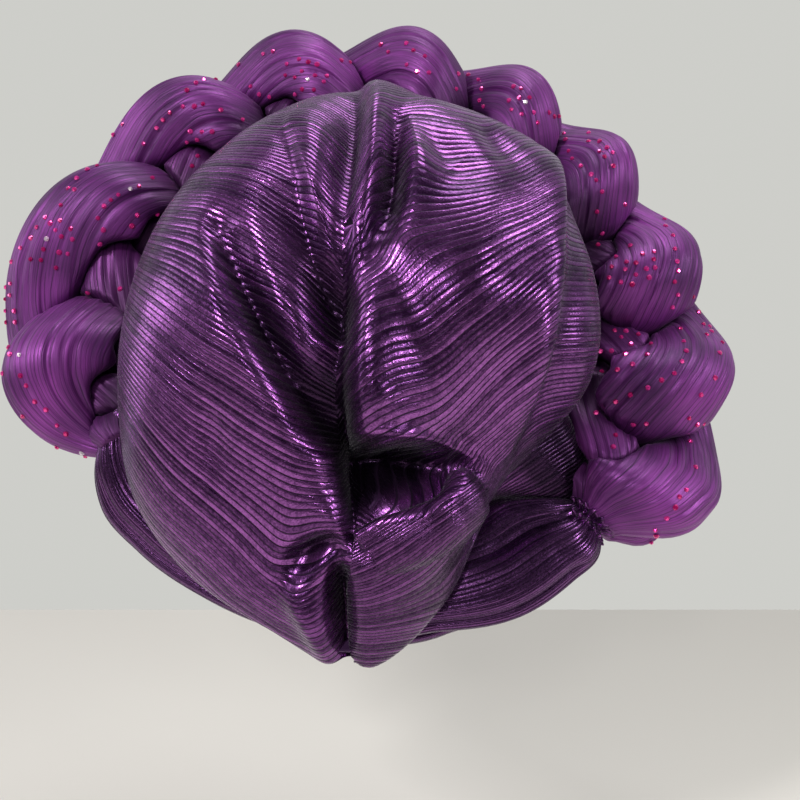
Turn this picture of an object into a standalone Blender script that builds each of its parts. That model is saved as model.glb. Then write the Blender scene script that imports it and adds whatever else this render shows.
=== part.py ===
"""Tied gele head tie: a pleated cap with a hanging back bag inside a braided halo.

The halo lies in a plane that leans forward at the top. Places are worked out in that
plane's own coordinates: the angle round the head from the top (clockwise as seen from
behind), the radius from the middle of the head opening, and the rise off the plane
towards the back of the head. The origin is the middle of the head opening, +Y is the
way the wearer faces and +Z is up. Lengths are metres.
"""

import math

import bpy
import numpy as np

# Driving sizes
HALO_TILT = math.radians(35.0)       # lean of the halo plane from upright
RIM_HALF_WIDTH = 0.086               # head opening, outside of the cloth, side to side
RIM_HALF_LENGTH = 0.094              # head opening, forehead to nape
RIM_DROP = 0.008                     # the opening's middle lies this far below the halo's
RIM_FRONT = 0.012                    # how far the rim reaches in front of the halo plane
CLOTH_WALL = 0.002
SEWN_GAP = 0.0005                    # clearance between pieces that are sewn together

STRAND_WIDTH = 0.047                 # one padded strand, across the halo
STRAND_DEPTH = 0.038                 # the same strand, front to back
WEAVE_REACH = 0.0160                 # how far a strand swings to each side of the braid
WEAVE_LIFT = 0.0125                  # how far it rises and dips as it crosses

CROWN_RADIUS = 0.100                 # the bag's mean outline radius
CROWN_DEPTH = 0.108                  # how far the bag stands behind the halo plane
FOLD_SCALE = 0.013                   # depth of a full fold in the bag
VIEW_LEAN = math.radians(15.0)       # lean of the plane that the folds are drawn on

BAND_HEIGHT = 0.046                  # nape band, edge to edge
BAND_THICKNESS = 0.018
FLAP_LIFT = 0.004                    # how far the flap's free edge stands off the bag

STRANDS = 3
CREASE_SHARPNESS = 12                # how squarely neighbouring strands press together
NEARBY_STEPS = (-0.6, -0.3, 0.0, 0.3, 0.6)  # places beside a section that it also has to clear
PLAIT_START = 5 * math.pi / 6        # the plait's phase at its first outer crease
BAND_SQUARENESS = 0.8                # power of the bands' oval, 1 for a plain ellipse
RIM_SEAT_GAPS = 4                    # the bag's outline stays this many gaps outside the rim
FLAP_SEAT_GAPS = 1.6                 # the flap's seam lies this many gaps off the bag
FLAP_TOP_SHARE = 0.6                 # how far the flap's top edge lifts, over its free edge
FOLD_STEPS = 25                      # points along each fold's curve
FOLD_FADE_START = 0.12               # a fold's depth follows a sine from this share of its
FOLD_FADE_SPAN = 0.76                # half turn, over this much of it
FOLD_ROWS_FADE = 1.5                 # rows over which the folds fade in at the outline
CLOTH_METALLIC = 0.55
STRAND_COLOUR, STRAND_ROUGHNESS = (0.20, 0.04, 0.26), 0.45
BAG_COLOUR, BAG_ROUGHNESS = (0.16, 0.03, 0.22), 0.30
BAND_COLOUR, BAND_ROUGHNESS = (0.14, 0.03, 0.19), 0.40
STRAND_SECTIONS = 84
STRAND_SIDES = 12
CROWN_SPOKES = 60
CROWN_ROWS = 13
BAND_SECTIONS = 22
BAND_SIDES = 16

# Outer creases between neighbouring strands, degrees round the halo
CREASE_ANGLES = (-122.0, -98.0, -63.0, -34.0, -10.0, 14.0, 37.0, 59.0, 82.0, 104.0, 129.0)

# The braid's course: angle in degrees, radius and weave and thickness as shares of the
# named sizes, rise as a share of the strand's depth
BRAID_COURSE = (
    # angle, radius, weave, thickness, rise
    (-119.0, 0.92, 0.34, 0.34, 0.42),
    (-112.0, 0.95, 0.66, 0.66, 0.28),
    (-102.0, 0.98, 0.94, 0.96, 0.10),
    (-85.0, 1.00, 1.00, 1.02, 0.00),
    (-60.0, 0.98, 1.00, 0.98, 0.00),
    (-30.0, 0.97, 1.00, 0.92, 0.00),
    (0.0, 0.98, 1.00, 0.92, 0.00),
    (45.0, 0.95, 1.00, 0.90, 0.00),
    (66.0, 0.95, 1.00, 0.94, 0.00),
    (90.0, 1.00, 1.00, 1.00, 0.00),
    (108.0, 1.03, 1.00, 1.04, 0.02),
    (120.0, 1.05, 0.98, 0.98, 0.08),
    (127.0, 1.06, 0.66, 0.68, 0.10),
    (131.0, 1.05, 0.32, 0.32, 0.12),
)

# The bag's outline seen from behind: angle in degrees, radius as a share of CROWN_RADIUS
BAG_OUTLINE = (
    # angle, radius
    (-180.0, 1.51), (-165.0, 1.42), (-150.0, 1.35), (-135.0, 1.27), (-120.0, 1.15),
    (-105.0, 1.06), (-88.0, 0.99), (-60.0, 0.92), (-35.0, 0.92), (-12.0, 0.97),
    (4.0, 1.04), (20.0, 0.98), (46.0, 1.03), (62.0, 1.01), (90.0, 1.02),
    (114.0, 1.04), (130.0, 1.00), (142.0, 0.99), (153.0, 1.08), (166.0, 1.32),
)

# The bag's profile, rim to apex: share of the way from rim to outline, share of the
# outline radius, and rise as a share of the clearance height or of CROWN_DEPTH
UNDER_PROFILE = (
    # spread from rim to outline, rise over BRAID_HALF_DEPTH, at the nape over BAND_THICKNESS
    (0.00, 0.46, 1.10),
    (0.34, 1.08, 1.20),
    (0.74, 1.30, 1.28),
)
BACK_PROFILE = (
    # radius over outline, rise over CROWN_DEPTH
    (1.000, 0.41),
    (0.985, 0.52),
    (0.930, 0.65),
    (0.840, 0.765),
    (0.720, 0.855),
    (0.580, 0.925),
    (0.430, 0.968),
    (0.280, 0.990),
    (0.130, 1.000),
)
TAIL_SINK_SHARE = 0.44                     # share of the rise that the outline loses at the tail
TAIL_HALF_DEGREES = 75.0               # degrees each side of the nape over which it does
OUTLINE_ROW = 1 + len(UNDER_PROFILE)

# Folds of the bag, each along a curve of three points: places and width in shares of
# CROWN_RADIUS on the plane that the folds are drawn on, depth as a share of FOLD_SCALE
BAG_FOLDS = (
    # name, across 1, up 1, across 2, up 2, across 3, up 3, width, depth
    ("upper centre valley", 0.10, 0.95, -0.03, 0.48, -0.04, -0.05, 0.09, -0.90),
    ("lower centre valley", -0.04, 0.02, -0.05, -0.45, 0.13, -0.84, 0.10, -1.20),
    ("left valley", -0.54, 0.32, -0.28, 0.00, -0.03, -0.42, 0.10, -0.90),
    ("ridge left of the left valley", -0.72, 0.10, -0.48, -0.22, -0.20, -0.60, 0.16, 0.40),
    ("second left valley", -0.16, 0.72, -0.14, 0.34, -0.05, -0.02, 0.08, -0.60),
    ("right bulge", 0.22, -0.25, 0.44, 0.05, 0.55, 0.48, 0.26, 0.70),
    ("pocket at the top", 0.16, 0.80, 0.19, 0.60, 0.13, 0.36, 0.08, -0.70),
    ("ridge by the pocket", 0.26, 0.84, 0.28, 0.50, 0.09, 0.06, 0.08, 0.45),
    ("hollow over the rolled ridge", 0.16, -0.76, 0.20, -0.56, 0.42, -0.45, 0.12, -1.20),
    ("rolled ridge", -0.06, -0.95, 0.22, -0.84, 0.47, -0.58, 0.10, 0.60),
    ("right edge ridge", 0.76, 0.68, 0.76, 0.08, 0.58, -0.42, 0.10, 0.60),
    ("right edge valley", 0.90, 0.46, 0.93, 0.00, 0.72, -0.38, 0.09, -0.70),
    ("left dent", -0.65, 0.45, -0.67, 0.28, -0.57, 0.06, 0.08, -0.35),
    ("lower left dent", -0.54, -0.26, -0.53, -0.40, -0.55, -0.57, 0.08, -0.30),
    ("curl at the tail", -0.42, -0.74, -0.24, -0.88, -0.12, -1.10, 0.09, -0.60),
    ("gap under the flap", -0.07, -0.92, -0.05, -1.10, -0.03, -1.34, 0.08, -0.60),
)

# Nape bands: angle in degrees, middle and half height as shares of BAND_HEIGHT from the
# rim, rise and half thickness as shares of BAND_THICKNESS
RIGHT_BAND = (
    # angle, middle, half height, rise, half thickness
    (132.4, 0.76, 0.16, 0.32, 0.34),
    (136.0, 0.68, 0.30, 0.38, 0.48),
    (142.0, 0.56, 0.47, 0.44, 0.54),
    (152.0, 0.50, 0.52, 0.48, 0.50),
    (166.0, 0.42, 0.44, 0.48, 0.46),
    (180.0, 0.36, 0.38, 0.48, 0.42),
)
LEFT_BAND = (
    # angle, middle, half height, rise, half thickness
    (-120.6, 0.30, 0.20, 0.80, 0.40),
    (-127.0, 0.44, 0.42, 0.42, 0.66),
    (-137.0, 0.48, 0.49, 0.05, 0.62),
    (-152.0, 0.45, 0.47, -0.30, 0.46),
    (-172.0, 0.42, 0.44, -0.46, 0.38),
    (-195.0, 0.44, 0.45, -0.50, 0.38),
    (-207.0, 0.46, 0.40, -0.54, 0.34),
)

# The flap: angle in degrees and how many rows it reaches up the bag from the outline
FLAP_TOP = (
    # angle, rows
    (150.0, 3.4), (162.0, 4.8), (171.0, 5.5), (180.0, 5.6),
)
FLAP_COLUMNS = 11
FLAP_ROWS = 8

# Worked-out places
BRAID_HALF_WIDTH = WEAVE_REACH + STRAND_WIDTH / 2
BRAID_HALF_DEPTH = WEAVE_LIFT + STRAND_DEPTH / 2
HALO_RADIUS = RIM_HALF_WIDTH + SEWN_GAP + BRAID_HALF_WIDTH


def smooth_curve(places, table, column, period=0.0):
    """Values of one table column at the given places, along a smooth curve."""
    rows = np.array(table, dtype=float)
    xs, ys = rows[:, 0], rows[:, column]
    order = np.argsort(xs)
    xs, ys = xs[order], ys[order]
    if period:
        xs = np.concatenate([xs[-2:] - period, xs, xs[:2] + period])
        ys = np.concatenate([ys[-2:], ys, ys[:2]])
    slopes = np.gradient(ys, xs)
    where = np.clip(np.searchsorted(xs, places) - 1, 0, len(xs) - 2)
    span = xs[where + 1] - xs[where]
    share = np.clip((places - xs[where]) / span, 0.0, 1.0)
    share2, share3 = share ** 2, share ** 3
    return ((2 * share3 - 3 * share2 + 1) * ys[where]
            + (share3 - 2 * share2 + share) * span * slopes[where]
            + (3 * share2 - 2 * share3) * ys[where + 1]
            + (share3 - share2) * span * slopes[where + 1])


def wrap_degrees(degrees):
    """The same angles between -180 and 180 degrees."""
    return (np.asarray(degrees, dtype=float) + 180.0) % 360.0 - 180.0


def halo_points(degrees, radius, rise):
    """World points from an angle round the halo, a radius and a rise off its plane."""
    angle = np.radians(degrees)
    across, along = radius * np.sin(angle), radius * np.cos(angle)
    lean_sin, lean_cos = math.sin(HALO_TILT), math.cos(HALO_TILT)
    return np.stack([across + 0 * rise,
                     along * lean_sin - rise * lean_cos,
                     along * lean_cos + rise * lean_sin], axis=-1)


def rim_radius(degrees):
    """Radius of the head opening's ellipse, measured from the halo's middle."""
    angle = np.radians(degrees)
    sine, cosine = np.sin(angle), np.cos(angle)
    a = (sine / RIM_HALF_WIDTH) ** 2 + (cosine / RIM_HALF_LENGTH) ** 2
    b = 2 * cosine * RIM_DROP / RIM_HALF_LENGTH ** 2
    c = (RIM_DROP / RIM_HALF_LENGTH) ** 2 - 1
    return (-b + np.sqrt(b * b - 4 * a * c)) / (2 * a)


def make_object(name, vertices, faces, colour, roughness):
    """One mesh object with its own metallic cloth material."""
    mesh = bpy.data.meshes.new(name)
    mesh.from_pydata([tuple(vertex) for vertex in vertices], [], faces)
    mesh.validate()
    mesh.shade_smooth()
    material = bpy.data.materials.new(name + "_cloth")
    material.use_nodes = True
    shader = material.node_tree.nodes["Principled BSDF"]
    shader.inputs["Base Color"].default_value = (*colour, 1.0)
    shader.inputs["Roughness"].default_value = roughness
    shader.inputs["Metallic"].default_value = CLOTH_METALLIC
    mesh.materials.append(material)
    made = bpy.data.objects.new(name, mesh)
    collection.objects.link(made)
    return made


def ring_faces(rings, sides):
    """Quads that join neighbouring rings of equal size, each ring a closed loop."""
    faces = []
    for ring in range(rings - 1):
        for side in range(sides):
            after = (side + 1) % sides
            low, high = ring * sides, (ring + 1) * sides
            faces.append((low + side, low + after, high + after, high + side))
    return faces


def loft(name, sections, colour, roughness):
    """A closed solid through a row of closed sections, capped at both ends."""
    count, sides = sections.shape[:2]
    vertices = sections.reshape(-1, 3)
    faces = ring_faces(count, sides)
    last = (count - 1) * sides
    middle_first, middle_last = len(vertices), len(vertices) + 1
    vertices = np.vstack([vertices, sections[0].mean(axis=0), sections[-1].mean(axis=0)])
    for side in range(sides):
        after = (side + 1) % sides
        faces.append((middle_first, after, side))
        faces.append((middle_last, last + side, last + after))
    return make_object(name, vertices, faces, colour, roughness)


def add_wall(made, thickness, offset):
    """Give an open cloth surface its thickness, to one side of it."""
    wall = made.modifiers.new("wall", "SOLIDIFY")
    wall.thickness = thickness
    wall.offset = offset
    wall.use_even_offset = False


def braid_phase(degrees):
    """Phase of the plait: each outer crease is a third of a turn after the last."""
    third = 2 * math.pi / STRANDS
    creases = [(angle, PLAIT_START + number * third)
               for number, angle in enumerate(CREASE_ANGLES)]
    return smooth_curve(degrees, creases, 1)


def strand_centres(degrees):
    """Radius and rise of each strand's middle at each angle, arrays of strand by angle."""
    base = braid_phase(degrees)
    radius = HALO_RADIUS * smooth_curve(degrees, BRAID_COURSE, 1)
    weave = smooth_curve(degrees, BRAID_COURSE, 2)
    rise = STRAND_DEPTH * smooth_curve(degrees, BRAID_COURSE, 4)
    phases = base[None, :] - np.arange(STRANDS)[:, None] * 2 * math.pi / STRANDS
    return (radius + WEAVE_REACH * weave * np.sin(phases),
            rise - WEAVE_LIFT * weave * np.sin(2 * phases))


def strand_reach(degrees, strand, sides):
    """How far an oval strand reaches each way before its neighbours or the rim stop it."""
    radii, rises = strand_centres(degrees)
    thickness = smooth_curve(degrees, BRAID_COURSE, 3)[:, None]
    turn = np.arange(sides) * 2 * math.pi / sides
    out, up = np.cos(turn)[None, :], np.sin(turn)[None, :]
    oval = np.hypot(out / (STRAND_WIDTH * thickness), up / (STRAND_DEPTH * thickness))
    inverse = (2 * oval) ** CREASE_SHARPNESS
    for other in range(STRANDS):
        if other == strand:
            continue
        aside = (radii[other] - radii[strand])[:, None]
        above = (rises[other] - rises[strand])[:, None]
        apart = np.hypot(aside, above)
        facing = np.maximum((out * aside + up * above) / apart, 0.0)
        inverse = inverse + (facing / (apart / 2 - SEWN_GAP)) ** CREASE_SHARPNESS
    to_rim = (radii[strand] - rim_radius(degrees) - SEWN_GAP)[:, None]
    inverse = inverse + (np.maximum(-out, 0.0) / to_rim) ** CREASE_SHARPNESS
    return inverse ** (-1 / CREASE_SHARPNESS)


def strand_section(degrees, strand, sides):
    """Radius and rise of each section's points, clear of the neighbours all the way."""
    step = (degrees[-1] - degrees[0]) / (len(degrees) - 1)
    nearby = [np.clip(degrees + share * step, degrees[0], degrees[-1])
              for share in NEARBY_STEPS]
    reach = np.min([strand_reach(places, strand, sides) for places in nearby], axis=0)
    radii, rises = strand_centres(degrees)
    turn = np.arange(sides) * 2 * math.pi / sides
    return (radii[strand][:, None] + reach * np.cos(turn)[None, :],
            rises[strand][:, None] + reach * np.sin(turn)[None, :])


def build_strand(strand):
    """One padded strand of the halo braid."""
    degrees = np.linspace(BRAID_COURSE[0][0], BRAID_COURSE[-1][0], STRAND_SECTIONS)
    radius, rise = strand_section(degrees, strand, STRAND_SIDES)
    points = halo_points(degrees[:, None], radius, rise)
    return loft(f"braid_strand_{strand + 1}", points, STRAND_COLOUR, STRAND_ROUGHNESS)


def bag_outline(degrees):
    """Radius of the bag's outline, never inside the rim."""
    share = smooth_curve(wrap_degrees(degrees), BAG_OUTLINE, 1, 360.0)
    return np.maximum(CROWN_RADIUS * share, rim_radius(degrees) + RIM_SEAT_GAPS * SEWN_GAP)


def bag_profile(degrees):
    """Radius and rise of the bag's base form: arrays of spoke by profile row."""
    degrees = np.asarray(degrees, dtype=float)
    rim, outline = rim_radius(degrees), bag_outline(degrees)
    nape = np.abs(np.abs(wrap_degrees(degrees)) - 180.0) / TAIL_HALF_DEGREES
    tail = 0.5 * (1 + np.cos(math.pi * np.minimum(nape, 1.0)))
    radii, rises = [rim], [np.full_like(rim, -RIM_FRONT)]
    for spread, over_braid, over_band in UNDER_PROFILE:
        radii.append(rim + spread * (outline - rim))
        rises.append(BRAID_HALF_DEPTH * over_braid * (1 - tail)
                     + BAND_THICKNESS * over_band * tail)
    for share, rise in BACK_PROFILE:
        radii.append(outline * share)
        rises.append(CROWN_DEPTH * rise * (1 - TAIL_SINK_SHARE * tail * share ** 2))
    return np.stack(radii, axis=-1), np.stack(rises, axis=-1)


def fold_depth(across, up):
    """Depth of all the bag's folds at places on the plane that they are drawn on."""
    depth = np.zeros(across.shape)
    share = np.linspace(0.0, 1.0, FOLD_STEPS)
    for _, x0, h0, x1, h1, x2, h2, width, amount in BAG_FOLDS:
        line_x = ((1 - share) ** 2 * x0 + 2 * share * (1 - share) * x1 + share ** 2 * x2)
        line_h = ((1 - share) ** 2 * h0 + 2 * share * (1 - share) * h1 + share ** 2 * h2)
        far = np.hypot(across[..., None] - CROWN_RADIUS * line_x,
                       up[..., None] - CROWN_RADIUS * line_h)
        nearest = far.argmin(axis=-1)
        fade = np.sin(math.pi * (FOLD_FADE_START + FOLD_FADE_SPAN * share[nearest]))
        depth += amount * fade * np.exp(-(far.min(axis=-1) / (width * CROWN_RADIUS)) ** 2)
    return FOLD_SCALE * depth


def bag_surface():
    """World points and normals of the folded bag, a grid of spokes by profile rows."""
    degrees = np.arange(CROWN_SPOKES) * 360.0 / CROWN_SPOKES
    last_row = len(UNDER_PROFILE) + len(BACK_PROFILE)
    rows = np.concatenate([np.arange(OUTLINE_ROW),
                           np.linspace(OUTLINE_ROW, last_row, CROWN_ROWS)])
    radii, rises = bag_profile(degrees)
    steps = np.arange(radii.shape[1], dtype=float)
    radius = np.stack([smooth_curve(rows, np.stack([steps, line], 1), 1) for line in radii])
    rise = np.stack([smooth_curve(rows, np.stack([steps, line], 1), 1) for line in rises])
    points = halo_points(degrees[:, None], radius, rise)
    around = np.roll(points, -1, axis=0) - np.roll(points, 1, axis=0)
    normal = np.cross(np.gradient(points, axis=1), around)
    normal /= np.linalg.norm(normal, axis=-1, keepdims=True)
    up = points[..., 1] * math.sin(VIEW_LEAN) + points[..., 2] * math.cos(VIEW_LEAN)
    seen = np.clip((rows - OUTLINE_ROW + 1.0) / FOLD_ROWS_FADE, 0.0, 1.0)
    depth = fold_depth(points[..., 0], up) * seen
    return points + normal * depth[..., None], normal


def build_crown():
    """The cap and its bag: a cloth shell, open at the head, its wall to the inside."""
    points, _ = bag_surface()
    rings = np.swapaxes(points, 0, 1)
    vertices = rings.reshape(-1, 3)
    faces = [face[::-1] for face in ring_faces(len(rings), CROWN_SPOKES)]
    apex, last = len(vertices), (len(rings) - 1) * CROWN_SPOKES
    vertices = np.vstack([vertices, rings[-1].mean(axis=0)])
    for spoke in range(CROWN_SPOKES):
        faces.append((apex, last + (spoke + 1) % CROWN_SPOKES, last + spoke))
    crown = make_object("crown_bag", vertices, faces, BAG_COLOUR, BAG_ROUGHNESS)
    add_wall(crown, CLOTH_WALL, -1.0)
    return crown


def build_band(name, table):
    """A gathered nape band: ovals lofted round the nape just outside the rim."""
    rows = np.array(table, dtype=float)
    start, end = rows[0, 0], rows[-1, 0]
    degrees = np.linspace(start, end, BAND_SECTIONS)
    rim = rim_radius(degrees)[:, None]
    middle = BAND_HEIGHT * smooth_curve(degrees, table, 1)[:, None]
    half = BAND_HEIGHT * smooth_curve(degrees, table, 2)[:, None]
    rise = BAND_THICKNESS * smooth_curve(degrees, table, 3)[:, None]
    deep = BAND_THICKNESS * smooth_curve(degrees, table, 4)[:, None]
    turn = np.arange(BAND_SIDES) * 2 * math.pi / BAND_SIDES
    out = np.sign(np.cos(turn)) * np.abs(np.cos(turn)) ** BAND_SQUARENESS
    up = np.sign(np.sin(turn)) * np.abs(np.sin(turn)) ** BAND_SQUARENESS
    radius = np.maximum(rim + middle + half * out[None, :], rim + SEWN_GAP)
    points = halo_points(degrees[:, None], radius, rise + deep * up[None, :])
    if end < start:
        points = points[::-1]
    return loft(name, points, BAND_COLOUR, BAND_ROUGHNESS)


def build_flap():
    """The right panel's lower end, folded over the left one, just off the bag."""
    points, normal = bag_surface()
    spokes = np.linspace(FLAP_TOP[0][0], FLAP_TOP[-1][0], FLAP_COLUMNS) * CROWN_SPOKES / 360.0
    top = smooth_curve(spokes * 360.0 / CROWN_SPOKES, FLAP_TOP, 1)
    rows = OUTLINE_ROW + top[:, None] * np.linspace(0.0, 1.0, FLAP_ROWS)[None, :]
    low_spoke, low_row = np.floor(spokes).astype(int)[:, None], np.floor(rows).astype(int)
    ahead, above = (spokes[:, None] - low_spoke)[..., None], (rows - low_row)[..., None]

    def blend(grid):
        low = grid[low_spoke, low_row] * (1 - above) + grid[low_spoke, low_row + 1] * above
        high = (grid[low_spoke + 1, low_row] * (1 - above)
                + grid[low_spoke + 1, low_row + 1] * above)
        return low * (1 - ahead) + high * ahead

    across = np.linspace(0.0, 1.0, FLAP_COLUMNS)[:, None, None]
    upwards = np.linspace(0.0, 1.0, FLAP_ROWS)[None, :, None]
    lift = FLAP_SEAT_GAPS * SEWN_GAP + FLAP_LIFT * (across ** 2 + FLAP_TOP_SHARE * upwards ** 2)
    points = blend(points) + blend(normal) * lift
    faces = []
    for column in range(FLAP_COLUMNS - 1):
        for row in range(FLAP_ROWS - 1):
            low = column * FLAP_ROWS + row
            faces.append((low, low + 1, low + FLAP_ROWS + 1, low + FLAP_ROWS))
    flap = make_object("tail_flap", points.reshape(-1, 3), faces, BAG_COLOUR, BAG_ROUGHNESS)
    add_wall(flap, CLOTH_WALL, 1.0)
    return flap


for old in list(bpy.data.objects):
    bpy.data.objects.remove(old, do_unlink=True)
collection = bpy.data.collections.new("tied_gele_head_tie")
bpy.context.scene.collection.children.link(collection)

build_crown()
build_flap()
for number in range(STRANDS):
    build_strand(number)
build_band("nape_band_left", LEFT_BAND)
build_band("nape_band_right", RIGHT_BAND)
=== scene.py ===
"""Looks of a tied gele head tie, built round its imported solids.

Places are worked out in the halo's own coordinates: the angle round the head from the
top (clockwise as seen from behind), the radius from the middle of the head opening, and
the rise off the halo's plane towards the back of the head. The origin is the middle of
the head opening, +Y is the way the wearer faces and +Z is up. Lengths are metres.
"""

from __future__ import annotations

import enum
import logging
import math
from dataclasses import dataclass

import bpy
import numpy as np
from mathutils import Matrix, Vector


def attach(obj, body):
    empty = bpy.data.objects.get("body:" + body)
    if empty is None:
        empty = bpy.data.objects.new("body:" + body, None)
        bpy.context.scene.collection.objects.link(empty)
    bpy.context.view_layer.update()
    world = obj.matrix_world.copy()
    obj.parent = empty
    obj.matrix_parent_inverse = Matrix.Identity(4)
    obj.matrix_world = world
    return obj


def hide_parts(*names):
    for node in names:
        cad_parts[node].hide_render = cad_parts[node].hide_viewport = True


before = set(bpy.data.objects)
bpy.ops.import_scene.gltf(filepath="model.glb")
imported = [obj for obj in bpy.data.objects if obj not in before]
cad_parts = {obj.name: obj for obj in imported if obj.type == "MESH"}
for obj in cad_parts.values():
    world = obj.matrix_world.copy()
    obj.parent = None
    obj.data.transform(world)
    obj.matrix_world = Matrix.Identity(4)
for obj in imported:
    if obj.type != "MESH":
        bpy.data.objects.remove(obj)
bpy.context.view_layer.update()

LOG = logging.getLogger("gele")
Array = np.ndarray
Colour = tuple[float, float, float]
Pair = tuple[float, float]
Point = tuple[float, float, float]
Socket = bpy.types.NodeSocket
Table = tuple[tuple[float, ...], ...]
TURN = 2 * math.pi


def hermite(share: Array, first: Array, second: Array, first_slope: Array,
            second_slope: Array) -> Array:
    """A cubic from the first value to the second that has their slopes at its ends."""
    share2, share3 = share ** 2, share ** 3
    return ((2 * share3 - 3 * share2 + 1) * first + (share3 - 2 * share2 + share) * first_slope
            + (3 * share2 - 2 * share3) * second + (share3 - share2) * second_slope)


def smooth_curve(places: Array, table: Table, column: int, period: float = 0.0) -> Array:
    """Values of one table column along a smooth curve (cubic Hermite through the rows).

    Args:
        places: where along the first column to read.
        table: rows of numbers, the first column the place.
        column: the column to read.
        period: length after which the first column repeats, or 0.

    Returns:
        One value for each place, held at the ends where the table does not repeat.
    """
    rows = np.array(table, dtype=float)
    xs, ys = rows[:, 0], rows[:, column]
    order = np.argsort(xs)
    xs, ys = xs[order], ys[order]
    if period:
        xs = np.concatenate([xs[-2:] - period, xs, xs[:2] + period])
        ys = np.concatenate([ys[-2:], ys, ys[:2]])
    slopes = np.gradient(ys, xs)
    where = np.clip(np.searchsorted(xs, places) - 1, 0, len(xs) - 2)
    span = xs[where + 1] - xs[where]
    share = np.clip((places - xs[where]) / span, 0.0, 1.0)
    return hermite(share, ys[where], ys[where + 1], span * slopes[where],
                   span * slopes[where + 1])


def smoothstep(low: float, high: float, value: Array) -> Array:
    """Rises smoothly from 0 at low to 1 at high: 3t squared less 2t cubed."""
    share = np.clip((value - low) / (high - low), 0.0, 1.0)
    return share * share * (3 - 2 * share)


def wrap_degrees(degrees: Array) -> Array:
    """The same angles between -180 and 180 degrees."""
    return (np.asarray(degrees, dtype=float) + 180.0) % 360.0 - 180.0


def grid_normals(points: Array, around: bool) -> Array:
    """Unit normals of a grid: the cross product of its row and column steps.

    Args:
        points: grid of world points, columns by rows.
        around: whether the columns close on themselves.

    Returns:
        A grid of unit vectors, the row step crossed with the column step.
    """
    if around:
        across = np.roll(points, -1, axis=0) - np.roll(points, 1, axis=0)
    else:
        across = np.gradient(points, axis=0)
    normal = np.cross(np.gradient(points, axis=1), across)
    length = np.linalg.norm(normal, axis=-1, keepdims=True)
    return normal / np.maximum(length, 1e-12)


def wave_sum(place: Array, along: Array, counts: tuple[int, ...], seed: int) -> Array:
    """Soft uneven pleats across a strip: a sum of sines whose phases drift along it.

    Args:
        place: where round the strip, from 0 to 1.
        along: where along the strip, in pleat lengths.
        counts: how many waves go round for each sine.
        seed: which set of phases.

    Returns:
        Heights between about -1 and 1, the same at place 0 and place 1.
    """
    rng = np.random.default_rng(seed)
    total = np.zeros(np.broadcast(place, along).shape)
    for count in counts:
        start, drift, pace = rng.uniform(0, TURN, 3)
        swing = 1.6 * np.sin(along * (0.5 + 0.09 * pace) + drift)
        swing = swing + 0.7 * np.sin(along * 1.9 + start)
        total = total + np.sin(TURN * count * place + start + swing)
    return total / len(counts)


def run_length(line: Array) -> Array:
    """Distance along a line of points from its first: the running sum of its steps."""
    return np.concatenate([[0], np.cumsum(np.linalg.norm(np.diff(line, axis=0), axis=1))])


def closed(grid: Array) -> Array:
    """A grid with its first column once more after its last."""
    return np.concatenate([grid, grid[:1]])


def bell(value: Array, middle: float, width: float) -> Array:
    """A bell that falls from 1 at the middle to a third at its width."""
    return np.exp(-((value - middle) / width) ** 2)


def add_object(name: str, data: bpy.types.ID) -> bpy.types.Object:
    """A new object in the scene."""
    made = bpy.data.objects.new(name, data)
    bpy.context.scene.collection.objects.link(made)
    return made


def declare(piece: bpy.types.Object, finish: bpy.types.Material,
            node: str | None = None) -> None:
    """Dress a piece, and say what it rides and what it replaces.

    Args:
        piece: the finished piece.
        finish: its material.
        node: the solid that it replaces, if there is one.
    """
    piece.data.materials.append(finish)
    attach(piece, "root")
    if node is not None:
        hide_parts(node)


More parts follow.
